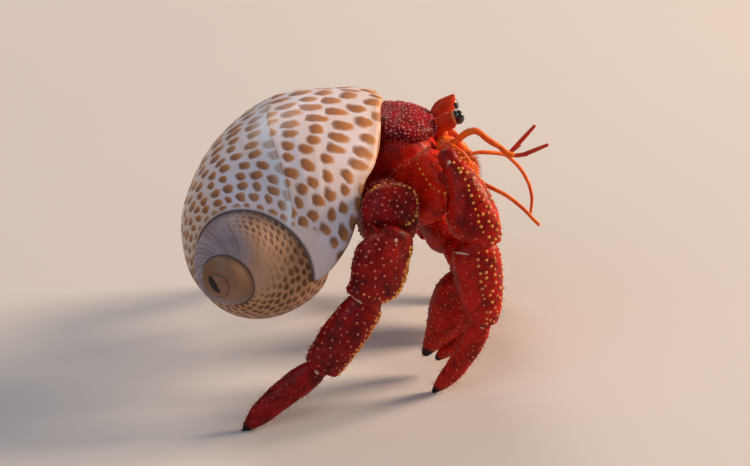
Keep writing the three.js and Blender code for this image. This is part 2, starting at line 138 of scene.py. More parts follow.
# %% Mesh helpers
def mesh_from(name, points, faces, uv=None, attributes=None, material=None):
    """A mesh object at the origin from points (n, 3) and faces.  uv has one row for each face corner, and
    attributes one number for each point."""
    mesh = bpy.data.meshes.new(name)
    mesh.from_pydata(np.asarray(points, float).tolist(), [], [list(map(int, f)) for f in faces])
    if uv is not None:
        layer = mesh.uv_layers.new(name="surface")
        layer.data.foreach_set("uv", np.asarray(uv, np.float32).ravel())
    for label, values in (attributes or {}).items():
        layer = mesh.attributes.new(label, "FLOAT", "POINT")
        layer.data.foreach_set("value", np.asarray(values, np.float32).ravel())
    mesh.polygons.foreach_set("use_smooth", np.full(len(mesh.polygons), True))
    mesh.materials.append(material)
    return add(name, mesh)


def face_outwards(piece):
    """Turns all faces of a closed mesh outwards."""
    work = bmesh.new()
    work.from_mesh(piece.data)
    bmesh.ops.recalc_face_normals(work, faces=work.faces)
    work.to_mesh(piece.data)
    work.free()


def settle(piece, slot, *nodes):
    """The piece rides on the one body and stands for its CAD nodes, which it hides; slot is not used."""
    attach(piece, "root")
    if nodes:
        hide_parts(*nodes)
    return piece


def unit(vectors):
    """Vectors of length one."""
    return vectors / np.maximum(np.linalg.norm(vectors, axis=-1, keepdims=True), 1e-12)


def ramp(x, low, high):
    """Nothing below low, one above high, and an S-curve between them."""
    t = np.clip((x - low) / (high - low), 0, 1)
    return t * t * (3 - 2 * t)


# %% Shader helpers
def wire(tree, kind, inputs=None, **settings):
    """Adds a node.  settings are its own choices; inputs holds numbers, colours or sockets to link."""
    node = tree.nodes.new(kind)
    for label, value in settings.items():
        setattr(node, label, value)
    for label, value in (inputs or {}).items():
        if isinstance(value, bpy.types.NodeSocket):
            tree.links.new(value, node.inputs[label])
        else:
            node.inputs[label].default_value = value
    return node


def maths(tree, what, *values):
    """The result of one step of arithmetic in a shader."""
    return wire(tree, "ShaderNodeMath", dict(enumerate(values)), operation=what).outputs[0]


def times(tree, first, second):
    """One value times another."""
    return maths(tree, "MULTIPLY", first, second)


def scaled(tree, value, factor, plus):
    """A value times a factor, plus another value."""
    return maths(tree, "MULTIPLY_ADD", value, factor, plus)


def blend(tree, share, first, second):
    """A colour between two others: first where share is 0, and second where it is 1."""
    return wire(tree, "ShaderNodeMix", {0: share, 6: first, 7: second}, data_type="RGBA").outputs[2]


def remap(tree, value, low, high, new_low=0.0, new_high=1.0):
    """A value carried from one range to another along an S-curve."""
    inputs = {"Value": value, "From Min": low, "From Max": high, "To Min": new_low, "To Max": new_high}
    return wire(tree, "ShaderNodeMapRange", inputs, interpolation_type="SMOOTHSTEP").outputs["Result"]


def noise(tree, place, scale, detail=3.0, roughness=0.5):
    """Cloudy noise from 0 to 1; a scale of 1000 gives lumps of about a millimetre."""
    inputs = {"Vector": place, "Scale": scale, "Detail": detail, "Roughness": roughness}
    return wire(tree, "ShaderNodeTexNoise", inputs).outputs["Fac"]


def vector(tree, x, y, z=0.0):
    """Three values as one vector."""
    return wire(tree, "ShaderNodeCombineXYZ", {"X": x, "Y": y, "Z": z}).outputs[0]


def object_place(tree):
    """Where a point lies in metres from the origin, so that a pattern keeps its real size."""
    return wire(tree, "ShaderNodeTexCoord").outputs["Object"]


def stored(tree, label):
    """A number that the mesh holds for each of its points."""
    return wire(tree, "ShaderNodeAttribute", attribute_name=label).outputs["Fac"]


def bumps(tree, shader, height, strength, distance):
    """Lets a height roughen the surface; distance is in metres."""
    bump = wire(tree, "ShaderNodeBump", {"Height": height, "Strength": strength, "Distance": distance})
    tree.links.new(bump.outputs["Normal"], shader.inputs["Normal"])


def new_material(name):
    """An empty material with its Principled shader; returns the material, its tree and the shader."""
    material = bpy.data.materials.new(name)
    material.use_nodes = True
    shader = material.node_tree.nodes["Principled BSDF"]
    return material, material.node_tree, shader


def rgb(red, green, blue):
    """A colour as shaders want it, with full opacity."""
    return (red, green, blue, 1.0)

# %% [markdown]
# ## The snail shell
# A snail shell is one oval turned about an axis while it grows at a constant rate, so each whorl is a
# scaled copy of the one before.  Only the part of a whorl that the next one leaves bare is modelled, and
# its edge shares its points with the next whorl, so that the suture between them is closed.  The mouth
# is a second skin set in by the thickness of the wall, joined to the outer skin round the lip.

# %% Shell sizes
TAU = 2 * math.pi  # one whole turn
SHELL_TIP = np.array([-27.17, -34.68, 25.0])
AXIS = unit(np.array([0.4317, 0.8985, 0.0795]))
OUTWARD = unit(np.array([0.8689, -0.3906, -0.304]))
ONWARD = np.cross(AXIS, OUTWARD)
WHORL_GROWTH = 2.217  # how many times larger each whorl is than the one before
GROWTH = math.log(WHORL_GROWTH) / TAU
OVAL_FROM_AXIS, OVAL_FROM_TIP = 6.97, 52.17
OVAL_HALF_WIDTH, OVAL_HALF_SPIRE, OVAL_HALF_BASE = 19.28, 34.67, 10.71
OVAL_FULLNESS = 0.94
LEAST_RADIUS = 0.5
TIP_BLUNTNESS = 5.2
SUTURE_ANGLE, BASE_ANGLE = -1.363, 1.89
LIP_TRAIL, LIP_REACH, LIP_SHAPE = 1.44, 0.757, 1.21
# waves along the lip: (how far back in radians, the angle of the wave's middle, its reach)
LIP_WAVES = [(0.085, 0.20, 0.30), (-0.045, -0.34, 0.13), (0.055, -0.70, 0.10)]
LIP_WAVES_FADE = -0.9  # in radians behind the lip
LIP_FLARE, LIP_FLARE_ANGLE, LIP_FLARE_REACH, LIP_FLARE_START = 0.95, 0.38, 0.5, -0.5
LIP_DIP, LIP_DIP_PLACE, LIP_DIP_REACH = 0.85, -0.68, 0.45
LIP_WALL = 0.85
SUTURE_REACH = 0.07  # in radians; the suture itself has no ridges
# fine sine ridges that run with the lip, and one low swell: (height, waves in a radian, shift)
RIDGE_WOBBLE, RIDGES, SWELL = (1.3, 9, 0), [(0.035, 61, 0), (0.03, 37, 2)], (0.10, 7.3, 0.6)
PAUSE_STEP, PAUSE_TURN, PAUSE_REACH = 0.22, -0.93, 0.035
STEPS, WHORLS = 156, 5
FLANK_COLUMNS, BASE_COLUMNS = 44, 56
MOUTH_ROWS = 64


# %% The shell's surface
def lip_trail(angle):
    """How far a growth line falls back from the suture to the base, in radians round the axis:
    a rise that levels off, LIP_TRAIL times one minus e to the minus (distance over reach) to a power."""
    along = np.maximum(angle - SUTURE_ANGLE, 0)
    return LIP_TRAIL * (1 - np.exp(-((along / LIP_REACH) ** LIP_SHAPE)))


def bell(x, middle, reach):
    """One at middle, falling away on both sides: e to the minus (distance over reach) squared."""
    return np.exp(-(((x - middle) / reach) ** 2))


def lip_waves(angle):
    """How far the lip itself lies back from that line, in radians: a sum of bells."""
    return sum(back * bell(angle, middle, reach) for back, middle, reach in LIP_WAVES)


def lip_flare(place, angle):
    """Extra width of the last whorl near its top, in millimetres: a rise towards the lip less a shallow dip
    behind it, times a bell across the whorl."""
    rise = LIP_FLARE * ramp(place, LIP_FLARE_START, 0) - LIP_DIP * bell(place, LIP_DIP_PLACE, LIP_DIP_REACH)
    return rise * bell(angle, LIP_FLARE_ANGLE, LIP_FLARE_REACH)


def sine(x, height, rate, shift=0.0):
    """A wave: height times the sine of rate times x plus shift."""
    return height * np.sin(rate * x + shift)


def growth_ridges(turn):
    """Height of the growth lines in millimetres: uneven ridges, a swell, and a step where growth paused."""
    fine, coarse = RIDGES
    ridges = sine(turn, *fine[:2], sine(turn, *RIDGE_WOBBLE)) + sine(turn, *coarse)
    return ridges + sine(turn, *SWELL) + PAUSE_STEP * bell(turn, PAUSE_TURN, PAUSE_REACH)


def shell_point(turn, angle, outset=0.0):
    """Point of the oval at an angle, turned about the axis by turn: the radius is the oval's cosine from
    the axis, the height its sine along the axis, and both grow as e to the growth rate times turn."""
    size = np.exp(GROWTH * turn)
    c, s = np.cos(angle), np.sin(angle)
    rim = OVAL_FROM_AXIS + np.sign(c) * np.abs(c) ** OVAL_FULLNESS * (OVAL_HALF_WIDTH + outset)
    radius = np.maximum(rim, LEAST_RADIUS) * size
    half = np.where(s < 0, OVAL_HALF_SPIRE, OVAL_HALF_BASE) + outset
    height = np.hypot((OVAL_FROM_TIP + half * s) * size, TIP_BLUNTNESS)
    turned = np.cos(turn)[..., None] * OUTWARD + np.sin(turn)[..., None] * ONWARD
    return SHELL_TIP + height[..., None] * AXIS + radius[..., None] * turned


def laid_back(place, angle):
    """Turn of a grid row: rows of the early whorls run straight, and the last row is the lip itself."""
    return place - lip_trail(angle) * ramp(place, -TAU, 0) - lip_waves(angle) * ramp(place, LIP_WAVES_FADE, 0)


# %% [markdown]
# The suture is where the oval of one whorl meets the oval of the whorl before.  Instead of measuring it,
# the script looks for the angle on the earlier oval that comes nearest to the start of the later one.

# %% Where the suture ends
def crowded(count):
    """Shares from 0 to 1 that lie closer together near both ends, so the suture stays crisp."""
    return (1 - np.cos(np.linspace(0, math.pi, count + 1))) / 2


TRIALS, LAST_TRIAL = 4000, 1.0
trial = np.linspace(SUTURE_ANGLE, LAST_TRIAL, TRIALS)
start = shell_point(np.array(0.0), np.array(SUTURE_ANGLE))
misses = np.linalg.norm(shell_point(np.full_like(trial, -TAU), trial) - start, axis=1)
COVER_ANGLE = float(trial[misses.argmin()])
print("suture ends at", round(COVER_ANGLE, 3), "rad")

# %% The outer skin
places = np.linspace(-TAU * WHORLS, 0, STEPS * WHORLS + 1)
flank_angles = SUTURE_ANGLE + (COVER_ANGLE - SUTURE_ANGLE) * crowded(FLANK_COLUMNS)
BASE_CROWDING = 0.9
base_angles = COVER_ANGLE + (BASE_ANGLE - COVER_ANGLE) * np.linspace(0, 1, BASE_COLUMNS + 1) ** BASE_CROWDING
last_rows = places[-STEPS - 1 :]


def skin(rows, angles):
    """Points of the outer skin with its growth ridges, which fade out at the suture, and their place on the
    spiral as two numbers: whorls behind the lip, and the share of the way from the suture to the base."""
    place, angle = np.meshgrid(rows, angles, indexing="ij")
    grown = place + lip_trail(angle) * (1 - ramp(place, -TAU, 0))
    ripple = sine(angle, 0.018, 9, 1) + sine(angle, 0.012, 23)
    turn = laid_back(place, angle) + ripple * ramp(place, LIP_FLARE_START, 0)
    ridges = growth_ridges(grown) * (1 - bell(angle, SUTURE_ANGLE, SUTURE_REACH))
    points = shell_point(turn, angle, ridges + lip_flare(place, angle))
    spiral = np.stack([grown / TAU, (angle - SUTURE_ANGLE) / (BASE_ANGLE - SUTURE_ANGLE)], -1)
    return points, spiral


# %% The inside of the mouth
WALL_SPAN, WALL_AT_ENDS = 0.97, 0.35  # shares of the way across, and of the wall's full thickness
INNER_COAT, INNER_SHIFT = 0.3, 0.06  # the skin on the whorl before: thickness, and the angle it starts on by
PILLAR, PILLAR_BULGE = 1.3, 0.3


def mouth_skin(rows):
    """The inside of the mouth as closed loops: along the outer wall, down the pillar at the axis and back
    over the whorl before, with a point of its own in the corner under the suture.  The wall is thinnest at
    both its ends, and the pillar is a line that bulges by a power of 4 times share times (1 - share)."""
    wall = np.concatenate([flank_angles[1:], base_angles[1:]])
    wall = SUTURE_ANGLE + SUTURE_REACH + (wall - SUTURE_ANGLE) * WALL_SPAN
    place, angle = np.meshgrid(rows, np.minimum(wall, BASE_ANGLE), indexing="ij")
    inset = LIP_WALL * (WALL_AT_ENDS + (1 - WALL_AT_ENDS) * np.sin(np.linspace(0, math.pi, len(wall))) ** 0.5)
    outer = shell_point(laid_back(place, angle), angle, lip_flare(place, angle) - inset[None, :])
    back, angle = np.meshgrid(rows - TAU, base_angles[-2:0:-1] + INNER_SHIFT, indexing="ij")
    inner = shell_point(back, np.minimum(angle, BASE_ANGLE), INNER_COAT)
    share = np.linspace(0, 1, STEPS + 1)[1:, None]
    turned = np.cos(rows)[:, None] * OUTWARD + np.sin(rows)[:, None] * ONWARD
    away = (PILLAR * np.exp(GROWTH * rows)[:, None] * turned)[:, None, :]
    line = outer[:, -1:] + (inner[:, :1] - away - outer[:, -1:]) * share
    pillar = line + away * (4 * share * (1 - share)) ** PILLAR_BULGE + away * share
    corner = (outer[:, :1] + inner[:, -1:]) / 2
    return np.concatenate([corner, outer, pillar, inner], axis=1)


flank, flank_spiral = skin(places, flank_angles)
base, base_spiral = skin(last_rows, base_angles)
mouth = mouth_skin(last_rows[-MOUTH_ROWS:][::-1])
print("skin grids:", flank.shape[:2], base.shape[:2], "and the mouth", mouth.shape[:2])


# %% Faces from point numbers
def quads(grid, closed=False):
    """Four-sided faces between neighbouring rows and columns of a grid of point numbers."""
    if closed:
        grid = np.concatenate([grid, grid[:, :1]], axis=1)
    return np.stack([grid[:-1, :-1], grid[:-1, 1:], grid[1:, 1:], grid[1:, :-1]], -1).reshape(-1, 4)


def fan(ring, centre):
    """Three-sided faces from a closed ring of point numbers to one centre."""
    return np.stack([ring, np.roll(ring, -1), np.full(len(ring), centre)], -1)


def at_corners(grid):
    """The two numbers that a grid holds, at each corner of each of its quads."""
    return np.stack([quads(grid[..., k]) for k in (0, 1)], -1).reshape(-1, 2)


# %% Sew the skins together
# the lip's edge rolls over a little beyond the last row
ROLL, ROLL_FULLNESS = 0.22, 0.3
TIP_DENT = 0.02
EDGE_ROWS = 6  # rows of the mouth that take the colour of the lip's edge
flank_ids = np.arange(flank[:, :-1, 0].size).reshape(len(places), FLANK_COLUMNS)
base_ids = flank_ids.size - 1 + np.arange(base[..., 0].size).reshape(base.shape[:2])
base_ids[0, 0] = flank_ids[-1, 0]
covered = np.concatenate([flank_ids[STEPS:, 0], base_ids[1:, 0]])
flank_full = np.concatenate([flank_ids, covered[:, None]], axis=1)

rim = np.concatenate([flank_full[-1], base_ids[-1, 1:], base_ids[-2::-1, -1], base_ids[0, -2:0:-1]])
outer_points = np.concatenate([flank[:, :-1].reshape(-1, 3), base.reshape(-1, 3)[1:]])
ahead = unit(flank[-1] - flank[-2])
ahead = np.concatenate([ahead, unit(base[-1, 1:] - base[-2, 1:])])
push = np.zeros((len(rim), 3))
push[: len(ahead)] = ROLL * ahead * np.sin(np.linspace(0, math.pi, len(ahead)))[:, None] ** ROLL_FULLNESS
lip_roll = (outer_points[rim] + mouth[0]) / 2 + push
mouth = np.concatenate([lip_roll[None], mouth])
mouth_ids = len(outer_points) + np.arange(mouth[..., 0].size).reshape(mouth.shape[:2])
inner_rows = np.concatenate([rim[None], mouth_ids])
tip_ring = np.concatenate([flank_full[0], flank_ids[STEPS - 1 : 0 : -1, 0]])
tip_point = SHELL_TIP + (TIP_BLUNTNESS - TIP_DENT) * AXIS
back_point = mouth[-1].mean(0)
shell_points = np.concatenate([outer_points, mouth.reshape(-1, 3), [tip_point, back_point]])
tip_id, back_id = len(shell_points) - 2, len(shell_points) - 1

skin_faces = [quads(flank_full), quads(base_ids)]
rest_faces = [quads(inner_rows, closed=True), fan(tip_ring, tip_id), fan(mouth_ids[-1], back_id)]
rest_corners = sum(f.size for f in rest_faces)
elsewhere = np.tile([-WHORLS, 0.02], (rest_corners, 1))
spiral_uv = np.concatenate([at_corners(flank_spiral), at_corners(base_spiral), elsewhere])
inside, edge = np.zeros((2, len(shell_points)))
inside[mouth_ids], inside[back_id] = 1, 1
edge[mouth_ids[:EDGE_ROWS]], edge[rim] = 1, 1
shell_faces = [f for block in skin_faces + rest_faces for f in block]
print("shell:", len(shell_points), "points,", len(shell_faces), "faces")

# %% [markdown]
# ### The shell's colour
# The spots sit in rows that run with the spiral.  A shader can draw them in the shell's own spiral
# coordinates, the UV map made above: u counts whorls and v runs from the suture to the base.  Each row and
# each spot in it gets its own random shift and size, so no two match.  The same group of nodes draws the
# large spots of the last whorl and the small dark ones of the whorl before, with other numbers.


# %% A group of nodes that draws rows of spots
def group_with(name, inputs, outputs):
    """An empty node group; inputs and outputs are (name, socket type, default)."""
    tree = bpy.data.node_groups.new(name, "ShaderNodeTree")
    for direction, sockets in (("INPUT", inputs), ("OUTPUT", outputs)):
        for label, kind, default in sockets:
            socket = tree.interface.new_socket(name=label, in_out=direction, socket_type=kind)
            if default is not None:
                socket.default_value = default
    return tree, tree.nodes.new("NodeGroupInput").outputs, tree.nodes.new("NodeGroupOutput").inputs


SPOT_VALUES = ("Per Whorl", "Rows", "Length", "Height", "Slant", "Seed")


def make_spot_rows():
    """Rows of oval spots.  Mask is 1 in a spot, Core is 1 in its middle, and Side goes from 0 to 1 along
    it.  Each spot's place in its cell and its length are dice rolls, so no two are alike."""
    number = "NodeSocketFloat"
    tree, inp, out = group_with(
        "spot_rows",
        [(label, number, 0.0) for label in ("Along", "Across", *SPOT_VALUES)],
        [(label, number, None) for label in ("Mask", "Core", "Side")],
    )
    across = times(tree, inp["Across"], inp["Rows"])
    row = maths(tree, "FLOOR", across)
    row_noise = wire(tree, "ShaderNodeTexWhiteNoise", noise_dimensions="2D")
    tree.links.new(vector(tree, row, inp["Seed"]), row_noise.inputs["Vector"])
    along = maths(tree, "ADD", times(tree, inp["Along"], inp["Per Whorl"]), row_noise.outputs["Value"])
    cell = vector(tree, row, maths(tree, "FLOOR", along), inp["Seed"])
    dice = wire(tree, "ShaderNodeTexWhiteNoise", {"Vector": cell}, noise_dimensions="3D")
    rolls = wire(tree, "ShaderNodeSeparateColor", {"Color": dice.outputs["Color"]})
    shift_x = scaled(tree, rolls.outputs[0], 0.14, -0.57)
    shift_y = scaled(tree, rolls.outputs[1], 0.22, -0.61)
    x = maths(tree, "ADD", maths(tree, "FRACT", along), shift_x)
    y = maths(tree, "ADD", maths(tree, "FRACT", across), shift_y)
    size = scaled(tree, rolls.outputs[2], 0.42, 0.70)
    y = scaled(tree, x, inp["Slant"], y)
    x = maths(tree, "DIVIDE", x, times(tree, inp["Length"], size))
    y = maths(tree, "DIVIDE", y, inp["Height"])
    powers = [maths(tree, "POWER", maths(tree, "ABSOLUTE", part), 2.2) for part in (x, y)]
    square = times(tree, maths(tree, "ADD", *powers), remap(tree, x, -0.9, 0.9, 0.8, 1.4))
    tree.links.new(remap(tree, square, 2.1, 0.35), out["Mask"])
    tree.links.new(remap(tree, square, 0.80, 0.1), out["Core"])
    tree.links.new(remap(tree, x, -0.9, 0.9), out["Side"])
    return tree


SPOT_ROWS = make_spot_rows()
print("group:", SPOT_ROWS.name, len(SPOT_ROWS.nodes), "nodes")


# %% Where a point lies on the shell
PAUSE = -0.148  # place on the spiral, in whorls, where the shell stopped growing for a while


def tint(tree, colour, share, strength, new):
    """A colour with a new one laid over it, as strongly as share times strength."""
    return blend(tree, times(tree, share, strength), colour, new)


class SpiralPlace:
    """What the shell's colours start from: u counts whorls behind the lip, v goes from the suture to the
    base, clouds are lumps of noise, and lines are noise drawn out along the growth lines."""

    def __init__(self, tree):
        self.tree, self.place = tree, object_place(tree)
        uv = wire(tree, "ShaderNodeUVMap", uv_map="surface").outputs["UV"]
        spiral = wire(tree, "ShaderNodeSeparateXYZ", {"Vector": uv})
        self.u, self.v = spiral.outputs["X"], spiral.outputs["Y"]
        self.clouds = noise(tree, self.place, 130.0, 4.0)
        self.lines = self.drawn_out(90.0, 3.0, 3.0)
        # the spots' own place: a little wobble, and a jump where growth paused
        wobble = wire(tree, "ShaderNodeTexNoise", {"Vector": self.place, "Scale": 420.0, "Detail": 2.0})
        parts = wire(tree, "ShaderNodeSeparateColor", {"Color": wobble.outputs["Color"]}).outputs
        along = scaled(tree, parts[0], 0.012, self.u)
        self.along = scaled(tree, maths(tree, "GREATER_THAN", self.u, PAUSE), 0.013, along)
        self.across = maths(tree, "ADD", scaled(tree, parts[1], 0.014, self.v), -0.007)

    def drawn_out(self, along, across, detail):
        """Noise in long thin shapes."""
        tree = self.tree
        return noise(tree, vector(tree, times(tree, self.u, along), times(tree, self.v, across)), 1.0, detail)

    def spots(self, *values):
        """Rows of spots on this shell, from the group."""
        node = self.tree.nodes.new("ShaderNodeGroup")
        node.node_tree = SPOT_ROWS
        self.tree.links.new(self.along, node.inputs["Along"])
        self.tree.links.new(self.across, node.inputs["Across"])
        for label, value in zip(SPOT_VALUES, values):
            node.inputs[label].default_value = value
        return node.outputs


# %% Colours of the whorls
PALE_FROM, PALE_FULL, PALE_EDGE = 0.035, 0.008, 0.003  # the pale band before the pause, in whorls


def last_whorl(at, big):
    """Porcelain white with brown spots, browner away from the lip and palest just before the pause."""
    tree, u, clouds = at.tree, at.u, at.clouds
    white = blend(tree, remap(tree, clouds, 0.35, 0.7), rgb(0.69, 0.58, 0.57), rgb(0.69, 0.66, 0.77))
    white = tint(tree, white, remap(tree, at.lines, 0.45, 0.75), 0.22, rgb(0.72, 0.50, 0.38))
    haze = remap(tree, scaled(tree, clouds, 0.2, u), -0.12, -0.36)
    white = tint(tree, white, haze, 0.62, rgb(0.60, 0.39, 0.24))
    pale = remap(tree, u, PAUSE - PALE_FROM, PAUSE - PALE_FULL)
    pale = times(tree, pale, remap(tree, u, PAUSE, PAUSE - PALE_EDGE))
    white = tint(tree, white, pale, 0.75, rgb(0.74, 0.80, 0.90))
    spot = blend(tree, big["Side"], rgb(0.15, 0.042, 0.008), rgb(0.50, 0.180, 0.026))
    spot = tint(tree, spot, big["Core"], 0.35, rgb(0.38, 0.125, 0.018))
    plain_border = times(tree, remap(tree, u, -0.17, -0.05), 0.055)
    spotted = remap(tree, maths(tree, "SUBTRACT", at.v, plain_border), 0.008, 0.022)
    halo = remap(tree, scaled(tree, clouds, 0.3, times(tree, big["Mask"], spotted)), 0.0, 1.2)
    white = tint(tree, white, halo, 0.42, rgb(0.64, 0.37, 0.19))
    spotted = times(tree, spotted, scaled(tree, pale, -0.6, 1.0))
    return tint(tree, white, times(tree, big["Mask"], spotted), 0.92, spot)


def earlier_whorls(at, small):
    """Dull tan with fine dark lines, small dark spots towards the outer edge, and a smooth worn tip."""
    tree, u, clouds = at.tree, at.u, at.clouds
    patches = remap(tree, clouds, 0.3, 0.7)
    tan = blend(tree, patches, rgb(0.20, 0.160, 0.19), rgb(0.35, 0.30, 0.34))
    streaks = remap(tree, at.drawn_out(42.0, 1.2, 2.0), 0.44, 0.62)
    tan = tint(tree, tan, streaks, 0.6, rgb(0.17, 0.095, 0.095))
    tan = tint(tree, tan, remap(tree, at.lines, 0.42, 0.68), 0.3, rgb(0.20, 0.10, 0.075))
    late = remap(tree, scaled(tree, clouds, 0.16, u), -1.12, -0.98)
    tan = tint(tree, tan, late, 0.7, rgb(0.50, 0.27, 0.13))
    faint = remap(tree, noise(tree, at.place, 260.0, 2.0), 0.35, 0.62, 0.35, 1.0)
    dark = times(tree, small["Mask"], remap(tree, at.v, 0.08, 0.22, 0.12, 0.85))
    dark = times(tree, times(tree, dark, faint), scaled(tree, late, 0.93, 0.07))
    spire = blend(tree, dark, tan, rgb(0.11, 0.036, 0.016))
    tip = blend(tree, patches, rgb(0.20, 0.085, 0.040), rgb(0.29, 0.17, 0.105))
    return blend(tree, remap(tree, u, -1.70, -1.86), spire, tip)


def tip_hole_shade(at):
    """1 inside the ragged oval hole worn in the tip, painted black as the shade inside it: the distance from
    the tip, squeezed one way.
    """
    tree = at.tree
    tip = tuple((SHELL_TIP + TIP_BLUNTNESS * AXIS) * MM)
    from_tip = wire(tree, "ShaderNodeVectorMath", {0: at.place, 1: tip}, operation="SUBTRACT")
    parts = wire(tree, "ShaderNodeSeparateXYZ", {"Vector": from_tip.outputs["Vector"]}).outputs
    oval = vector(tree, times(tree, scaled(tree, parts["Z"], 0.45, parts["X"]), 2.3), parts["Z"])
    reach = wire(tree, "ShaderNodeVectorMath", {0: oval}, operation="LENGTH").outputs["Value"]
    return remap(tree, scaled(tree, noise(tree, at.place, 900.0), 0.0008, reach), 0.0020, 0.0017)


# %% Shell material
def shell_material():
    """Glossy porcelain white with orange-brown spots, a browner spire, dark seams and a pale inside; the
    lip's orange edge is partly its own colour and partly painted glow, and the hole at the tip is painted
    shade.
    """
    material, tree, shader = new_material("spotted_shell")
    at = SpiralPlace(tree)
    u, v, clouds = at.u, at.v, at.clouds
    big = at.spots(30.0, 31.0, 0.39, 0.34, -0.5, 3.0)
    small = at.spots(46.0, 31.0, 0.31, 0.34, 0.2, 8.0)
    early = remap(tree, scaled(tree, clouds, 0.10, u), -0.44, -0.58)
    between = blend(tree, big["Mask"], rgb(0.50, 0.28, 0.15), rgb(0.17, 0.055, 0.018))
    body = blend(tree, early, last_whorl(at, big), between)
    colour = blend(tree, remap(tree, u, -0.86, -1.02), body, earlier_whorls(at, small))

    seam = remap(tree, scaled(tree, clouds, 0.006, v), 0.0165, 0.007)
    seam = times(tree, seam, remap(tree, u, -2.6, -1.9))
    colour = tint(tree, colour, seam, 0.9, rgb(0.035, 0.018, 0.012))
    # painted shade: the worn hole at the tip is a black patch standing for its dark inside
    colour = blend(tree, tip_hole_shade(at), colour, rgb(0.008, 0.006, 0.006))
    # orange lip and lip edge: partly the lip's own colour, partly painted glow of light through the thin lip
    lip = times(tree, remap(tree, u, -0.020, 0.0), remap(tree, v, 0.03, 0.15))
    colour = tint(tree, colour, lip, 0.45, rgb(0.46, 0.20, 0.07))
    edge_mask = stored(tree, "edge")
    hollow = blend(tree, edge_mask, rgb(0.62, 0.42, 0.34), rgb(0.50, 0.25, 0.13))
    colour = blend(tree, stored(tree, "inside"), colour, hollow)
    tree.links.new(colour, shader.inputs["Base Color"])

    rough = scaled(tree, edge_mask, 0.30, scaled(tree, clouds, 0.12, 0.37))
    tree.links.new(scaled(tree, early, 0.14, rough), shader.inputs["Roughness"])
    tree.links.new(scaled(tree, edge_mask, -0.06, 0.06), shader.inputs["Coat Weight"])
    shader.inputs["Coat Roughness"].default_value = 0.15
    shader.inputs["Specular IOR Level"].default_value = 0.35
    grain = scaled(tree, at.lines, 0.8, noise(tree, at.place, 2600.0, 2.0))
    bumps(tree, shader, grain, 0.16, 0.00012)
    return material


shell = mesh_from(
    "snail_shell",
    shell_points * MM,
    shell_faces,
    uv=spiral_uv,
    attributes={"inside": inside, "edge": edge},
    material=shell_material(),
)
face_outwards(shell)
settle(shell, "shell", "shell")
print("shell mesh:", len(shell.data.polygons), "faces")

# %% [markdown]
# ## Measuring the CAD pieces
# Every leg joint, claw and feeler already has its place and size in the CAD model.  To follow it exactly,
# the script cuts each CAD piece with a row of planes across its longest way.  The middle of every cut and
# its two half widths are then joined by smooth curves, and the finished surface is laid round them.


# %% Cuts across a CAD piece
TINY, JUST_UNDER = 1e-15, 1e-9  # these keep a division and a row number in range


def corners(node):
    """The triangles of a CAD piece as an array (triangle, corner, xyz), in millimetres."""
    mesh = frame["nodes"][node].data
    points = np.empty(len(mesh.vertices) * 3)
    mesh.vertices.foreach_get("co", points)
    mesh.calc_loop_triangles()
    triangles = np.empty(len(mesh.loop_triangles) * 3, np.int32)
    mesh.loop_triangles.foreach_get("vertices", triangles)
    return points.reshape(-1, 3)[triangles.reshape(-1, 3)] / MM


def centre(node):
    """Middle of a CAD piece's box, in millimetres."""
    return np.mean(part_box(node), axis=0) / MM


def cut(triangles, way, level):
    """Points where the plane at a level along a way meets the triangles' edges."""
    starts = triangles.reshape(-1, 3)
    ends = np.roll(triangles, -1, axis=1).reshape(-1, 3)
    low, high = starts @ way - level, ends @ way - level
    crossing = low * high < 0
    share = (low / (low - high + TINY))[crossing, None]
    return starts[crossing] * (1 - share) + ends[crossing] * share


def curve_through(points, count):
    """A smooth curve through points: between each two, the cubic whose slopes come from its neighbours."""
    points = np.asarray(points, float)
    padded = np.concatenate([2 * points[:1] - points[1:2], points, 2 * points[-1:] - points[-2:-1]])
    place = np.linspace(0, len(points) - 1 - JUST_UNDER, count)
    i = place.astype(int)
    t = (place - i)[:, None]
    a, b, c, d = (padded[i + k] for k in range(4))
    return 0.5 * (2 * b + (c - a) * t + (2 * a - 5 * b + 4 * c - d) * t**2 + (3 * b - a - 3 * c + d) * t**3)


# %% [markdown]
# ## Limb shells
# A joint of a crab's leg is a hard tube.  It starts as a narrow neck, and it ends in a rim with a hollow in
# which the next joint turns, in a dome, or in a point.  An outline below is a row of t and a row of sizes:
# t runs from 0 to 1 along the CAD piece, and size multiplies its half widths.  What reaches past either end
# covers the small gap that the CAD pieces keep, as a crab's joints cover each other.

# %% Outlines of a joint
# for each kind of neck and end: every t, and the size there
NECKS = {
    "round": ([-0.06, -0.055, -0.03, 0.03, 0.11, 0.3, 0.6], [0, 0.35, 0.7, 0.93, 1.01, 1, 1]),
    "full": ([-0.15, -0.145, -0.11, -0.03, 0.06, 0.24, 0.6], [0, 0.35, 0.75, 0.98, 1.06, 1.04, 1]),
    "late": ([0.02, 0.03, 0.06, 0.11, 0.2, 0.35, 0.6], [0, 0.4, 0.72, 0.92, 1, 1, 1]),
}
ENDS = {
    "cup": ([0.84, 0.93, 0.985, 1.02, 1.03, 1.01, 0.985, 0.98], [1, 1, 0.97, 0.89, 0.78, 0.64, 0.4, 0]),
    "knee": ([0.84, 0.94, 1.02, 1.09, 1.13, 1.14], [1.02, 1.03, 0.98, 0.8, 0.45, 0]),
    "dome": ([0.84, 0.92, 0.975, 1.015, 1.04, 1.045], [1.01, 1, 0.9, 0.7, 0.38, 0]),
    "short": ([0.72, 0.8, 0.86, 0.905, 0.93, 0.935], [1, 0.97, 0.86, 0.66, 0.36, 0]),
    "point": ([0.8, 0.93, 0.975, 0.995, 1], [1, 1, 0.92, 0.6, 0]),
}
OUTLINE_POINTS = 600
# a joint's ends reach as many millimetres past it as on a joint of this length
USUAL_LENGTH = 12.0
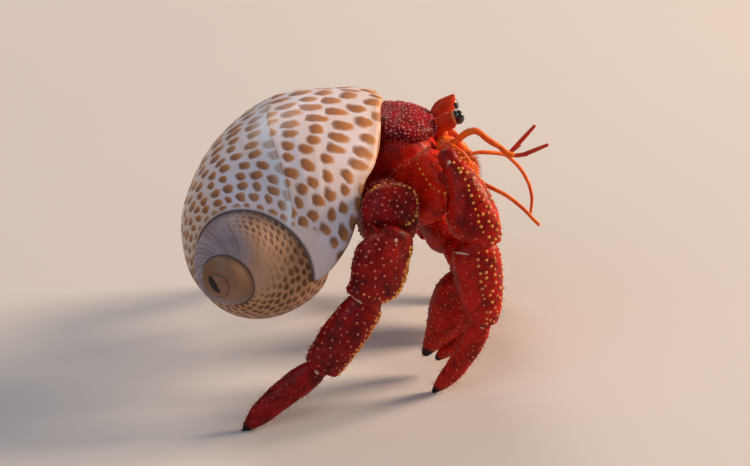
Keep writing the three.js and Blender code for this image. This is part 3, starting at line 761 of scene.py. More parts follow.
# where a CAD piece is cut, and how often; a thin bent piece needs more cuts
FIRST_CUT, LAST_CUT, CUTS, FINE_CUTS = 0.03, 0.97, 17, 44
BENT_DEGREE = 6
MEASURED = (0.02, 0.98)  # the stretch that the measured curves are good for
LEAST_HALF = 0.12
SHORT_STEP, WELL_INSIDE = 1e-3, (0.06, 0.94)
RIPPLE, CREST_WIDTH = 0.012, 0.32
# ways along which the skin's lumps wave, in radians a millimetre: two for the broad ones, two for the fine
LUMP_WAYS = np.array([[2.1, 1.3, -1.7], [-1.1, 2.3, 1.9], [5.3, -4.1, 3.7], [4.4, 3.9, -5.2]])


# %% A joint's skin
class Limb:
    """A tapering piece: its middle line and its half sizes as curves of t.  Its skin is a function of place,
    0 to 1 along the outline, and of the angle around it.  The angle is 0 on the edge that faces the way
    called edge, and a quarter turn on it is on the broad face that faces outward."""

    # neck and end name the outline; degree is how bent the measured curves may be; swell thickens the piece,
    # crest raises its edges, lumps roughen it, and fullness makes it squarer
    USUAL = {
        "neck": "round",
        "end": "cup",
        "degree": 3,
        "swell": 1.0,
        "crest": 0.0,
        "lumps": 0.05,
        "fullness": 2.5,
    }

    def __init__(self, node, before, after, edge, outward, **settings):
        """Measures the CAD piece; settings are the ones listed above that aren't as usual."""
        for label, value in {**self.USUAL, **settings}.items():
            setattr(self, label, value)
        self.node = node
        triangles = corners(node)
        points = np.unique(triangles.reshape(-1, 3).round(5), axis=0)
        ways = np.linalg.svd(points - points.mean(0), full_matrices=False)[2]
        hint = centre(after) - centre(before)
        long_way = int(np.abs(ways @ hint).argmax())
        self.way = ways[long_way] * np.sign(ways[long_way] @ hint)
        deep, broad = np.delete(ways, long_way, axis=0)
        self.deep = deep * np.sign(deep @ edge)
        self.broad = broad * np.sign(broad @ outward)
        reach = points @ self.way
        self.base, self.length = reach.min(), np.ptp(reach)
        shares = np.linspace(FIRST_CUT, LAST_CUT, CUTS if self.degree < BENT_DEGREE else FINE_CUTS)
        rows = []
        for share in shares:
            ring = cut(triangles, self.way, self.base + share * self.length)
            sides = np.stack([ring @ self.deep, ring @ self.broad])
            lows, highs = sides.min(1), sides.max(1)
            rows.append([*(lows + highs) / 2, *(highs - lows) / 2])
        fit = np.polynomial.Polynomial.fit
        self.curves = [fit(shares, column, self.degree) for column in np.array(rows).T]
        self.set_outline(*(near + far for near, far in zip(NECKS[self.neck], ENDS[self.end])))

    def set_outline(self, places, sizes):
        """Stores the outline as a fine curve, and each point's share of its length."""
        path = curve_through(np.transpose([places, sizes]), OUTLINE_POINTS)
        inner = np.clip(path[:, 0], 0, 1)
        path[:, 0] = inner + (path[:, 0] - inner) * USUAL_LENGTH / self.length
        path[:, 1] = np.maximum(path[:, 1], 0)
        size = float(np.mean(self.sizes(np.array([0.5]))))
        steps = np.hypot(np.diff(path[:, 0]) * self.length, np.diff(path[:, 1]) * size)
        travelled = np.concatenate([[0], np.cumsum(steps)])
        self.path, self.travel = path, travelled[-1]
        self.shares = travelled / travelled[-1]

    def along(self, place):
        """t and size at a place on the outline."""
        return [np.interp(place, self.shares, self.path[:, k]) for k in (0, 1)]

    def place_of(self, t):
        """The place on the outline where it first reaches t."""
        return np.interp(t, np.maximum.accumulate(self.path[:, 0]), self.shares)

    def sizes(self, t):
        """Half depth and half breadth at t."""
        t = np.clip(t, *MEASURED)
        return [np.maximum(curve(t), LEAST_HALF) * self.swell for curve in self.curves[2:]]

    def middle(self, t):
        """Middle of the piece at t."""
        inner = np.clip(t, *MEASURED)
        deep, broad = self.curves[0](inner), self.curves[1](inner)
        along = self.base + t * self.length
        return along[..., None] * self.way + deep[..., None] * self.deep + broad[..., None] * self.broad

    def relief(self, t, around):
        """Shallow swellings and a crest along both edges, as a share of the limb's size."""
        phase = len(self.node)
        waves = np.sin(5 * around + 7 * t + phase) + np.sin(3 * around - 11 * t) * np.sin(9 * t + phase)
        crests = bell(np.sin(around), 0.0, CREST_WIDTH) * (0.75 + 0.25 * np.cos(around))
        return RIPPLE * waves + self.crest * crests

    def skin(self, place, around):
        """Point of the skin: depth times the cosine one way and breadth times the sine the other, swollen
        towards a rounded box, times the outline's size; small waves make it uneven."""
        t, size = self.along(place)
        deep, broad = self.sizes(t)
        c, s = np.cos(around), np.sin(around)
        fuller = (np.abs(c) ** self.fullness + np.abs(s) ** self.fullness) ** (-1 / self.fullness)
        shape = fuller * (1 + self.relief(t, around)) * size
        offset = (deep * shape * c)[..., None] * self.deep + (broad * shape * s)[..., None] * self.broad
        points = self.middle(t) + offset
        waves = [np.sin(points @ way) for way in LUMP_WAYS]
        lump = self.lumps * (waves[0] * waves[1] + 0.5 * (waves[2] * waves[3])) * np.minimum(size, 1)
        return points + lump[..., None] * unit(offset)

    def normal(self, place, around):
        """Outward way of the skin, from two short steps along it."""
        step = SHORT_STEP
        along = self.skin(place + step, around) - self.skin(place - step, around)
        across = self.skin(place, around + step) - self.skin(place, around - step)
        out = unit(np.cross(along, across))
        inner = self.middle(np.clip(self.along(place)[0], *WELL_INSIDE))
        side = ((self.skin(place, around) - inner) * out).sum(-1, keepdims=True)
        return np.where(side < 0, -out, out)


# %% Blocks
# a granule's gold is partly its own colour and partly a painted glint of low warm light
NUMBERS = ("grain", "gold", "tip")  # what each point of a skin carries for its material
HORN_FROM, HORN_FADE = 0.88, 0.05  # shares of a foot's or finger's length


def turns(count):
    """Angles that go once round in equal steps."""
    return np.arange(count) * TAU / count


def block_of(points, faces, uv=None, **given):
    """Points and faces with their UV and their three numbers, ready to be joined to others."""
    numbers = {label: np.broadcast_to(given.get(label, 0.0), len(points)) for label in NUMBERS}
    if uv is None:
        uv = np.zeros((sum(group.size for group in faces), 2))
    return {"points": points, "faces": faces, "uv": uv, **numbers}


def closed_block(rings, ends, **numbers):
    """A block from rings of points, closed at each end by a fan to a point."""
    ids = np.arange(rings[..., 0].size).reshape(rings.shape[:2])
    faces = [quads(ids, closed=True), fan(ids[0], ids.size), fan(ids[-1], ids.size + 1)]
    return block_of(np.concatenate([rings.reshape(-1, 3), ends]), faces, **numbers)


def limb_block(limb, rows=96, columns=72, tip_from=None):
    """The limb's skin as a grid of rings; each end closes in one point.  Past tip_from it turns to horn."""
    places = np.linspace(0, 1, rows)[1:-1]
    place, around = np.meshgrid(places, turns(columns), indexing="ij")
    grid_uv = at_corners(np.stack(np.meshgrid(places, np.arange(columns + 1) / columns, indexing="ij"), -1))
    end_uv = [np.tile([end, 0.5], (3 * columns, 1)) for end in (0.0, 1.0)]
    ends = limb.path[[0, -1], 0]
    t = np.concatenate([limb.along(place)[0].ravel(), ends])
    tip = 0.0 if tip_from is None else ramp(t, tip_from, tip_from + HORN_FADE)
    uv = np.concatenate([grid_uv, *end_uv])
    return closed_block(limb.skin(place, around), limb.middle(ends), uv=uv, tip=tip)


# %% [markdown]
# ## Granules and bristles
# The whole skin is studded with granules: on top of the grid lie small domes, closest along the ridges.
# Each dome has only a few faces because there are thousands.  Bristles are slim three-sided spikes that
# lean towards the foot.  Both are worked out for a whole limb at once, and joined into few meshes.

# %% Where granules stand
SEED = 11
rng = np.random.default_rng(SEED)
RINGS_APART = 0.87  # a staggered ring lies this many spacings after the one before, so the gaps stay even
FIRST_RING, LAST_RING, FEWEST_IN_RING = 0.02, 0.98, 4
FEWEST_IN_ROW = 3
ROW_CHANCE = 0.25  # how far chance moves a granule along its row, as a share of a step
RIM_CHANCE, RIM_T_CHANCE = 0.04, 0.006  # and along a rim, in radians, and off it, in t


def wrapped(angle):
    """The same angle between minus and plus half a turn."""
    return (angle + math.pi) % TAU - math.pi


def band(middle, half_width, low=0.0, high=1.0):
    """A test that keeps the granules within half_width of an angle, and between two places."""

    def keep(place, around):
        return (np.abs(wrapped(around - middle)) < half_width) & (low < place) & (place < high)

    return keep


def mean_size(deep, broad):
    """Radius of a circle nearly as long as an oval: the root of the mean of both squares."""
    return np.sqrt((deep**2 + broad**2) / 2)


def scatter(limb, spacing, keep, jitter=0.28):
    """Granules in staggered rings a spacing apart, each moved by chance by up to jitter of the spacing."""
    rings = np.arange(FIRST_RING, LAST_RING, RINGS_APART * spacing / limb.travel)
    t, size = limb.along(rings)
    counts = np.maximum((TAU * mean_size(*limb.sizes(t)) * size / spacing).astype(int), FEWEST_IN_RING)
    ring = np.repeat(np.arange(len(rings)), counts)
    number = np.arange(counts.sum()) - np.repeat(np.cumsum(counts) - counts, counts)
    shift = 0.5 * (ring % 2) + rng.uniform(-jitter, jitter, len(ring))
    around = TAU * (number + shift) / counts[ring]
    place = rings[ring] + rng.uniform(-jitter, jitter, len(ring)) * spacing / limb.travel
    kept = keep(place, around)
    return place[kept], around[kept]


def ridge_row(limb, around, spacing, low=0.08, high=0.92, wander=0.05):
    """A row of granules along the limb at one angle around it, a little uneven."""
    count = max(FEWEST_IN_ROW, int(limb.travel * (high - low) / spacing))
    place = np.linspace(low, high, count) + rng.uniform(-ROW_CHANCE, ROW_CHANCE, count) * (high - low) / count
    return place, around + rng.uniform(-wander, wander, count)


def rim_row(limb, t, spacing, middle=0.0, half_width=math.pi):
    """An arc of granules round the limb at t, centred on an angle."""
    count = max(FEWEST_IN_ROW, int(2 * half_width * mean_size(*limb.sizes(t)) / spacing))
    around = middle + np.linspace(-half_width, half_width, count)
    around += rng.uniform(-RIM_CHANCE, RIM_CHANCE, count)
    return limb.place_of(t + rng.uniform(-RIM_T_CHANCE, RIM_T_CHANCE, count)), around


# %% Granules as meshes
DOME_RINGS = [(1.0, -0.45), (0.92, 0.30), (0.55, 0.80)]  # (radius, rise) of each ring of a granule
DOME_SIDES = 8
DOME_GRAIN = [0.5, 0.85, 1.0]  # of the rings; the top's is the last ring's
# how far chance may change a granule's radius, its height and its gold, as shares; the gold is partly the
# granule's own colour and partly a painted glint of low warm light
RADIUS_CHANCE, HEIGHT_CHANCE, GOLD_GLINT_CHANCE = (0.7, 1.2), (0.8, 1.15), (0.6, 1.1)


def stand_on(limb, place, around, sides):
    """Where things stand on a limb: the foot of each, up off the skin, onward along it, and the ways from
    its middle to its sides, which are the cosine of the turn onward and the sine of it sideways."""
    foot, up = limb.skin(place, around), limb.normal(place, around)
    along = unit(limb.way - (up @ limb.way)[:, None] * up)
    side, turn = np.cross(up, along), turns(sides)
    flat = np.cos(turn)[None, :, None] * along[:, None] + np.sin(turn)[None, :, None] * side[:, None]
    return foot, up, along, flat


def copied_faces(count, size, *shapes):
    """Faces of many copies of one shape, each copy with as many points as size."""
    first = np.arange(count)[:, None, None] * size
    return [(first + shape[None]).reshape(-1, shape.shape[1]) for shape in shapes]


def domes(limb, place, around, radius, height=0.85, lean=0.25, gold=0.0):
    """Granules as one block.  Each is three rings of points that shrink as they rise along the
    surface's normal, and a top that leans along the limb; height is a share of the radius."""
    radius = radius * rng.uniform(*RADIUS_CHANCE, len(place))
    height = height * radius * rng.uniform(*HEIGHT_CHANCE, len(place))
    foot, up, along, flat = stand_on(limb, place, around, DOME_SIDES)
    rings = []
    for size, rise in DOME_RINGS:
        shift = (rise * height)[:, None] * up + (max(rise, 0) * lean * height)[:, None] * along
        rings.append((foot + shift)[:, None] + (size * radius)[:, None, None] * flat)
    top = foot + height[:, None] * up + (lean * height)[:, None] * along
    points = np.concatenate([*rings, top[:, None]], axis=1)
    each = points.shape[1]
    ids = np.arange(each - 1).reshape(len(DOME_RINGS), DOME_SIDES)
    rows = zip(ids, ids[1:])
    walls = [np.stack([low, np.roll(low, -1), np.roll(high, -1), high], -1) for low, high in rows]
    faces = copied_faces(len(place), each, *walls, fan(ids[-1], each - 1), ids[:1, ::-1])
    grain = np.tile([*np.repeat(DOME_GRAIN, DOME_SIDES), DOME_GRAIN[-1]], len(place))
    root = np.stack([place, (around / TAU) % 1], -1)
    uv = np.concatenate([np.repeat(root, group.size // len(place), axis=0) for group in faces])
    shine = np.repeat(gold * rng.uniform(*GOLD_GLINT_CHANCE, len(place)), each)
    return block_of(points.reshape(-1, 3), faces, uv=uv, grain=grain, gold=np.clip(shine, 0, 1))


# %% Bristles as meshes
# a bristle: three points at its root, three round its bend and one tip; its faces, its patch of the UV map
# and its points' grain
SPIKE_WALL = np.array([[0, 1, 4, 3], [1, 2, 5, 4], [2, 0, 3, 5]])
SPIKE_CAPS = np.array([[3, 4, 6], [4, 5, 6], [5, 3, 6], [2, 1, 0]])
SPIKE_PATCH = np.array([[-1, -1], [1, -1], [0, 1], [-1, 0], [1, 0], [0, 1], [0, 1]]) * 0.0015
SPIKE_GRAIN = [0, 0, 0, 0.5, 0.5, 0.5, 1]
ROOT_DEPTH = 0.1
# a spike's lower and upper half: the share of its length, and how much of its lean it takes
LOWER_HALF, UPPER_HALF, BEND_RADIUS = (0.55, 0.6), (0.5, 1.6), 0.7
COLUMNS_ON_MAP = 16


def spikes(limb, place, around, length, radius, lean, column=0):
    """Bristles as one block: three-sided spikes, each with a bend in its middle.  Their UV is a small patch
    at the root's place; column sets limbs of one coat side by side on that map."""
    foot, up, along, flat = stand_on(limb, place, around, 3)
    low = foot[:, None] + radius * flat - ROOT_DEPTH * up[:, None]
    steps = []
    for share, bend in (LOWER_HALF, UPPER_HALF):
        steps.append(share * length[:, None] * unit(up + bend * lean[:, None] * along))
    half = foot + steps[0]
    tip = half + steps[1]
    points = np.concatenate([low, half[:, None] + BEND_RADIUS * radius * flat, tip[:, None]], axis=1)
    faces = copied_faces(len(place), points.shape[1], SPIKE_WALL, SPIKE_CAPS)
    root = np.stack([(column + place) / COLUMNS_ON_MAP, (around / TAU) % 1], -1)
    spots = (root[:, None] + SPIKE_PATCH[None]).reshape(-1, 2)
    uv = np.concatenate([spots[group.ravel()] for group in faces])
    return block_of(points.reshape(-1, 3), faces, uv=uv, grain=np.tile(SPIKE_GRAIN, len(place)))


# %% Blocks become one object
def joined(name, blocks, material, uv_name="surface"):
    """One mesh object from several blocks, all turned outwards, with nothing below the ground."""
    start, faces = 0, []
    for block in blocks:
        faces += [row for group in block["faces"] for row in (group + start).tolist()]
        start += len(block["points"])
    points = np.concatenate([block["points"] for block in blocks]) * MM
    points[:, 2] = np.maximum(points[:, 2], 0)
    uv = np.concatenate([block["uv"] for block in blocks])
    numbers = {key: np.concatenate([block[key] for block in blocks]) for key in NUMBERS}
    piece = mesh_from(name, points, faces, uv=uv, attributes=numbers, material=material)
    piece.data.uv_layers[0].name = uv_name
    face_outwards(piece)
    return piece


# %% [markdown]
# ## The crab's colours
# The hard skin is deep crimson and mottled, with tiny pale dots.  One group of nodes makes the mottling,
# the dots, the granules' colour and fine bumps, and each material gives it other colours: legs, shield,
# claws, face.  Three numbers stored on the mesh steer it: grain is 1 on a granule's top, a second number
# turns a granule from dull pink to golden, partly its own colour and partly a painted glint of low warm
# light, and tip is 1 on the horny point of a foot.


# %% Group: crab skin
def make_crab_skin():
    """Mottled colour, roughness and height for a crab's hard skin."""
    number, colour = "NodeSocketFloat", "NodeSocketColor"
    tree, inp, out = group_with(
        "crab_skin",
        [
            ("Dark", colour, rgb(0.10, 0.001, 0.004)),
            ("Bright", colour, rgb(0.30, 0.003, 0.004)),
            ("Granule", colour, rgb(0.56, 0.15, 0.12)),
            ("Gold Glint", colour, rgb(0.95, 0.42, 0.06)),
            ("Point", colour, rgb(0.008, 0.005, 0.005)),
            ("Dots", number, 0.5),
        ],
        [("Color", colour, None), ("Roughness", number, None), ("Height", number, None)],
    )
    place = object_place(tree)
    grain, gold, tip = (stored(tree, label) for label in NUMBERS)
    clouds = noise(tree, place, 380.0, 6.0, 0.65)
    mottle = blend(tree, remap(tree, clouds, 0.30, 0.66), inp["Dark"], inp["Bright"])
    cells = wire(tree, "ShaderNodeTexVoronoi", {"Vector": place, "Scale": 900.0, "Randomness": 1.0})
    size = times(tree, cells.outputs["Color"], 0.20)
    dot = remap(tree, maths(tree, "SUBTRACT", cells.outputs["Distance"], size), 0.10, 0.01)
    dot = times(tree, dot, inp["Dots"])
    # the golden granule colour is partly a painted glint of low warm light, not only the granules' own colour
    seed = blend(tree, gold, inp["Granule"], inp["Gold Glint"])
    dotted = blend(tree, times(tree, dot, 0.55), mottle, inp["Granule"])
    fleck = remap(tree, noise(tree, place, 1500.0, 2.0), 0.35, 0.7)
    seeded = blend(tree, scaled(tree, fleck, 0.25, 0.72), mottle, seed)
    grown = blend(tree, remap(tree, grain, 0.40, 0.90), dotted, seeded)
    tree.links.new(blend(tree, tip, grown, inp["Point"]), out["Color"])
    rough = scaled(tree, clouds, 0.20, 0.40)
    tree.links.new(scaled(tree, grain, -0.18, rough), out["Roughness"])
    fine = noise(tree, place, 3200.0, 2.0)
    tree.links.new(scaled(tree, dot, 0.9, times(tree, fine, 0.45)), out["Height"])
    return tree


CRAB_SKIN = make_crab_skin()


# %% The hard skins
def skin_material(name, dark, bright, coat=0.04, bump=0.3, **others):
    """A hard skin from the crab_skin group, with its dark and bright colours and any other values."""
    material, tree, shader = new_material(name)
    group = tree.nodes.new("ShaderNodeGroup")
    group.node_tree = CRAB_SKIN
    for label, value in {"Dark": rgb(*dark), "Bright": rgb(*bright), **others}.items():
        group.inputs[label].default_value = value
    tree.links.new(group.outputs["Color"], shader.inputs["Base Color"])
    tree.links.new(group.outputs["Roughness"], shader.inputs["Roughness"])
    bumps(tree, shader, group.outputs["Height"], bump, 0.00015)
    shader.inputs["Coat Weight"].default_value = coat
    shader.inputs["Coat Roughness"].default_value = 0.22
    shader.inputs["Specular IOR Level"].default_value = 0.15
    return material


# each skin's dark and bright colour, and what else isn't as usual
SKINS = {
    "leg_skin": ((0.15, 0.0008, 0.0010), (0.48, 0.0075, 0.0010), {"Dots": 0.3}),
    # painted shade: the third legs' skin is a darker, bluer copy of leg_skin, as if they stood in shade
    "back_leg_painted_shade_skin": ((0.075, 0.0004, 0.0012), (0.30, 0.0028, 0.0012), {"Dots": 0.3}),
    # painted light: the second legs' thighs are a brighter, more orange copy, as if lit and glowing
    "thigh_painted_light_skin": ((0.26, 0.0018, 0.0008), (0.70, 0.0160, 0.0010), {"bump": 0.2, "Dots": 0.15}),
    "claw_skin": ((0.20, 0.0015, 0.0010), (0.50, 0.0090, 0.0012), {"Dots": 0.3}),
    "shield_skin": (
        (0.10, 0.0006, 0.0030),
        (0.30, 0.0016, 0.0060),
        {"Dots": 0.2, "Granule": rgb(0.62, 0.22, 0.24)},
    ),
    # painted light: the fore body's flank is a brighter copy that stands for its glow in warm light
    "flank_painted_glow_skin": ((0.26, 0.0020, 0.0008), (0.66, 0.0140, 0.0010), {"bump": 0.2, "Dots": 0.12}),
    "face_skin": (
        (0.50, 0.035, 0.006),
        (0.82, 0.16, 0.012),
        {"coat": 0.2, "bump": 0.2, "Dots": 0.15, "Granule": rgb(0.92, 0.48, 0.10)},
    ),
    "eyestalk_skin": (
        (0.34, 0.006, 0.002),
        (0.62, 0.040, 0.004),
        {"coat": 0.12, "bump": 0.25, "Dots": 0.1, "Granule": rgb(0.86, 0.42, 0.14)},
    ),
    "joint_membrane": (
        (0.22, 0.003, 0.002),
        (0.38, 0.012, 0.003),
        {"Dots": 0.0, "Granule": rgb(0.58, 0.38, 0.27)},
    ),
    "feeler_skin": (
        (0.66, 0.075, 0.008),
        (0.86, 0.19, 0.015),
        {"coat": 0.2, "bump": 0.1, "Dots": 0.0, "Granule": rgb(0.45, 0.02, 0.006)},
    ),
    "whip_skin": ((0.40, 0.012, 0.006), (0.62, 0.05, 0.010), {"coat": 0.2, "bump": 0.1, "Dots": 0.0}),
    "bristle_hair": (
        (0.34, 0.030, 0.012),
        (0.50, 0.080, 0.030),
        {"coat": 0.0, "Dots": 0.0, "Granule": rgb(0.80, 0.42, 0.22)},
    ),
    "hind_skin": ((0.26, 0.06, 0.035), (0.44, 0.14, 0.08), {"coat": 0.3, "bump": 0.5, "Dots": 0.1}),
}
SKIN = {name: skin_material(name, dark, bright, **others) for name, (dark, bright, others) in SKINS.items()}


# %% The eyes' material
def cornea_material():
    """Black, and as glossy as glass, with a faint net of the facets that make up a crab's eye."""
    material, tree, shader = new_material("eye_cornea")
    place = object_place(tree)
    cells = wire(tree, "ShaderNodeTexVoronoi", {"Vector": place, "Scale": 9000.0}, feature="DISTANCE_TO_EDGE")
    net = remap(tree, cells.outputs["Distance"], 0.0, 0.12)
    black = blend(tree, net, rgb(0.016, 0.010, 0.010), rgb(0.004, 0.003, 0.004))
    tree.links.new(black, shader.inputs["Base Color"])
    tree.links.new(scaled(tree, net, -0.06, 0.30), shader.inputs["Roughness"])
    shader.inputs["Coat Weight"].default_value = 0.6
    shader.inputs["Coat Roughness"].default_value = 0.06
    return material


EYE = cornea_material()
print("materials:", len(bpy.data.materials))

# %% [markdown]
# ## The walking legs
# The crab walks on two pairs of legs, five joints to a leg.  A table says for each joint which stretches of
# its skin carry granules: scattered ones, rows along a ridge, or an arc along the rim, with their spacing,
# their radius and how golden they are.  That gold is partly the granules' own colour and partly a painted
# glint of low warm light.  Angle 0 is a joint's front edge, and a quarter turn on is its outer face.  Soft
# skin and a pale knob show in every joint, and bristles stand along the edges.

# %% What each joint carries
AHEAD, LEFT, UP = np.eye(3)
RIGHT = -LEFT
FRONT = np.array([1.0, 0.0, 0.35])
JOINTS = ["ischium", "merus", "carpus", "propodus", "dactylus"]
ALL = math.pi
OUTER = math.pi / 2

# (kind, middle angle, half width, spacing, radius, gold); a ridge runs along one angle and has no half width;
# the gold is partly the granules' own colour and partly a painted glint of low warm light, so it is highest
# on the front edges and rims
SECOND_LEG = {
    "merus": [
        ("scatter", OUTER, ALL, 1.7, 0.12, 0.1),
        ("ridge", math.pi, 0.0, 0.7, 0.2, 0.5),
        ("rim", OUTER, 1.9, 0.75, 0.26, 0.9),
    ],
    "carpus": [
        ("scatter", 0.2, 1.15, 1.25, 0.31, 0.85),
        ("ridge", 1.5, 0.0, 0.95, 0.31, 0.9),
        ("scatter", 2.6, 0.9, 1.7, 0.15, 0.1),
        ("scatter", -1.8, 0.9, 1.7, 0.16, 0.2),
    ],
    "propodus": [
        ("scatter", 0.2, 1.2, 1.3, 0.29, 0.8),
        ("ridge", 1.5, 0.0, 1.1, 0.28, 0.75),
        ("scatter", 2.6, 0.9, 1.7, 0.14, 0.1),
        ("scatter", -1.8, 0.9, 1.7, 0.15, 0.2),
    ],
    "dactylus": [("scatter", 0.3, 1.4, 1.25, 0.16, 0.45), ("scatter", 3.2, 1.4, 1.5, 0.12, 0.1)],
}
THIRD_LEG = {
    "merus": [("scatter", 0.0, ALL, 1.45, 0.23, 0.05), ("rim", 0.9, 1.75, 0.72, 0.31, 1.0)],
    "carpus": [
        ("scatter", 0.0, ALL, 1.5, 0.22, 0.08),
        ("scatter", 0.35, 0.45, 0.72, 0.32, 1.0),
        ("rim", OUTER, 1.2, 0.9, 0.2, 0.5),
    ],
    "propodus": [("scatter", 0.0, ALL, 1.5, 0.22, 0.1), ("scatter", 0.3, 0.4, 0.85, 0.27, 0.9)],
    "dactylus": [("scatter", 0.0, ALL, 1.5, 0.12, 0.1)],
}


# %% Soft joints and knobs
def ball_block(middle, ways, halves, rows=22, columns=30, **numbers):
    """An egg: its middle plus three ways, each times a half size and a coordinate of the unit sphere."""
    down, around = np.linspace(0, math.pi, rows)[1:-1, None], turns(columns)
    out = np.sin(down)
    sphere = np.stack([np.cos(down) + 0 * around, out * np.cos(around), out * np.sin(around)], -1)
    axes = np.asarray(ways) * np.asarray(halves)[:, None]
    return closed_block(middle + sphere @ axes, [middle + axes[0], middle - axes[0]], **numbers)


# soft skin: from t in one joint to t in the next, the t at which each is measured, the skin's share of the
# size there, and its folds
SOFT_FROM, SOFT_TO, SOFT_MEASURED = 0.88, 0.10, (0.95, 0.06)
SOFT_INSIDE, SOFT_OUTSIDE = 0.82, 0.90
FOLD_HEIGHT, FOLD_RATE = 0.04, 40


def membrane_block(inner, outer, rows=26, columns=36):
    """Folded soft skin from the hollow end of one joint to the neck of the next: a tube whose radius
    waves along its length.  The next joint's two ways are paired with the nearest ones of this joint, so
    that the tube never twists."""
    start, end = inner.middle(SOFT_FROM), outer.middle(SOFT_TO)
    first = [size * SOFT_INSIDE for size in inner.sizes(SOFT_MEASURED[0])]
    last = [size * SOFT_OUTSIDE for size in outer.sizes(SOFT_MEASURED[1])]
    pairs = [(outer.deep, last[0]), (outer.broad, last[1])]
    if abs(inner.deep @ outer.deep) < abs(inner.deep @ outer.broad):
        pairs.reverse()
    last = [size for way, size in pairs]
    last_ways = [way * np.sign(way @ match) for (way, size), match in zip(pairs, (inner.deep, inner.broad))]
    t, around = np.linspace(0, 1, rows)[:, None], turns(columns)
    closing = np.sqrt(np.clip(1 - (2 * t - 1) ** 8, 0, 1)) * (1 + FOLD_HEIGHT * np.sin(t * FOLD_RATE))
    deep, broad = ((a + (b - a) * t) * closing for a, b in zip(first, last))
    deep_way = unit(inner.deep * (1 - t) + last_ways[0] * t)[:, None]
    broad_way = unit(inner.broad * (1 - t) + last_ways[1] * t)[:, None]
    line = (start + (end - start) * t)[:, None]
    deep, broad = deep * np.cos(around), broad * np.sin(around)
    points = line + deep[..., None] * deep_way + broad[..., None] * broad_way
    return closed_block(points[1:-1], [start, end])


# each joint's pale knob: its angle around the limb, and its half sizes along it and across it
KNOBS = {"carpus": (OUTER + 0.25, 0.42, 0.34), "propodus": (OUTER + 0.75, 0.25, 1.3)}
KNOBS |= dict.fromkeys(("dactylus", "merus", "palm"), (OUTER, 0.3, 0.5))
KNOB_T, KNOB_HEIGHT = 0.035, 0.16


def knob_block(limb):
    """The pale knob that a joint turns on: an egg set in the skin just after the limb's neck."""
    around, along, across = KNOBS[limb.node.rsplit("_", 1)[1]]
    place, around = np.array([limb.place_of(KNOB_T)]), np.array([around])
    foot, up = limb.skin(place, around)[0], limb.normal(place, around)[0]
    side = unit(np.cross(up, limb.way))
    return ball_block(foot, [up, limb.way, side], [KNOB_HEIGHT, along, across], 14, 20, grain=0.9)


# %% Granules and bristles of a joint
# where granules start, where they stop along a joint that ends in a point or a cup, the place on the outline
# where they stop on any other, and where a rim's arc lies
SCATTER_T, RIDGE_T, LAST_T, LAST_PLACE, RIM_T = 0.03, 0.04, {"point": 0.9, "cup": 0.99}, 0.975, 0.955


def granules(limb, rules):
    """All granules of one joint as blocks, following its rules."""
    end = limb.place_of(LAST_T[limb.end]) if limb.end in LAST_T else LAST_PLACE
    blocks = []
    for kind, middle, half_width, spacing, radius, gold in rules:
        if kind == "scatter":
            found = scatter(limb, spacing, band(middle, half_width, limb.place_of(SCATTER_T), end))
        elif kind == "ridge":
            found = ridge_row(limb, middle, spacing, limb.place_of(RIDGE_T), end)
        else:
            found = rim_row(limb, RIM_T, spacing, middle, half_width)
        blocks.append(domes(limb, *found, radius, gold=gold))
    return blocks


BRISTLE_RADIUS = 0.04
LENGTH_CHANCE, LEAN_CHANCE = (0.6, 1.25), (0.5, 1.2)


def bristles(limb, per_mm, edge, spread, length, column, low=0.1, high=0.95):
    """Bristles along a joint: their angles crowd round the edge's, and spread says how closely."""
    count = int(per_mm * limb.length)
    place = rng.uniform(low, high, count)
    around = rng.normal(edge, spread, count)
    lengths = length * rng.uniform(*LENGTH_CHANCE, count)
    return spikes(limb, place, around, lengths, BRISTLE_RADIUS, rng.uniform(*LEAN_CHANCE, count), column)


# %% A chain of joints
SIDE_FORWARD = 0.8  # how much the limbs' broad faces look forward
USUAL_CREST = 0.04


def chain(limb, joints, outward, settings):
    """A Limb for each joint of a leg or arm; settings gives some joints their own."""
    names = ["cephalothorax", *(f"{limb}_{joint}" for joint in joints), f"{limb}_{joints[-1]}"]
    broad = outward + SIDE_FORWARD * AHEAD
    return [
        Limb(name, before, after, FRONT, broad, **{"crest": USUAL_CREST, **settings.get(joint, {})})
        for joint, before, name, after in zip(joints, names, names[1:], names[2:])
    ]


# %% Legs
LEG_SETTINGS = {
    "ischium": {"end": "dome"},
    "merus": {"crest": 0.05},
    "carpus": {"neck": "full"},
    "propodus": {"crest": 0.06},
    "dactylus": {"neck": "full", "end": "point", "degree": 4, "crest": 0.07, "swell": 0.9},
}
MERUS_END = {"leg2": "knee", "leg3": "dome"}
SHARPLY_BENT = "leg2_left"  # here the carpus ends early, so that its rim doesn't stand out of the bend


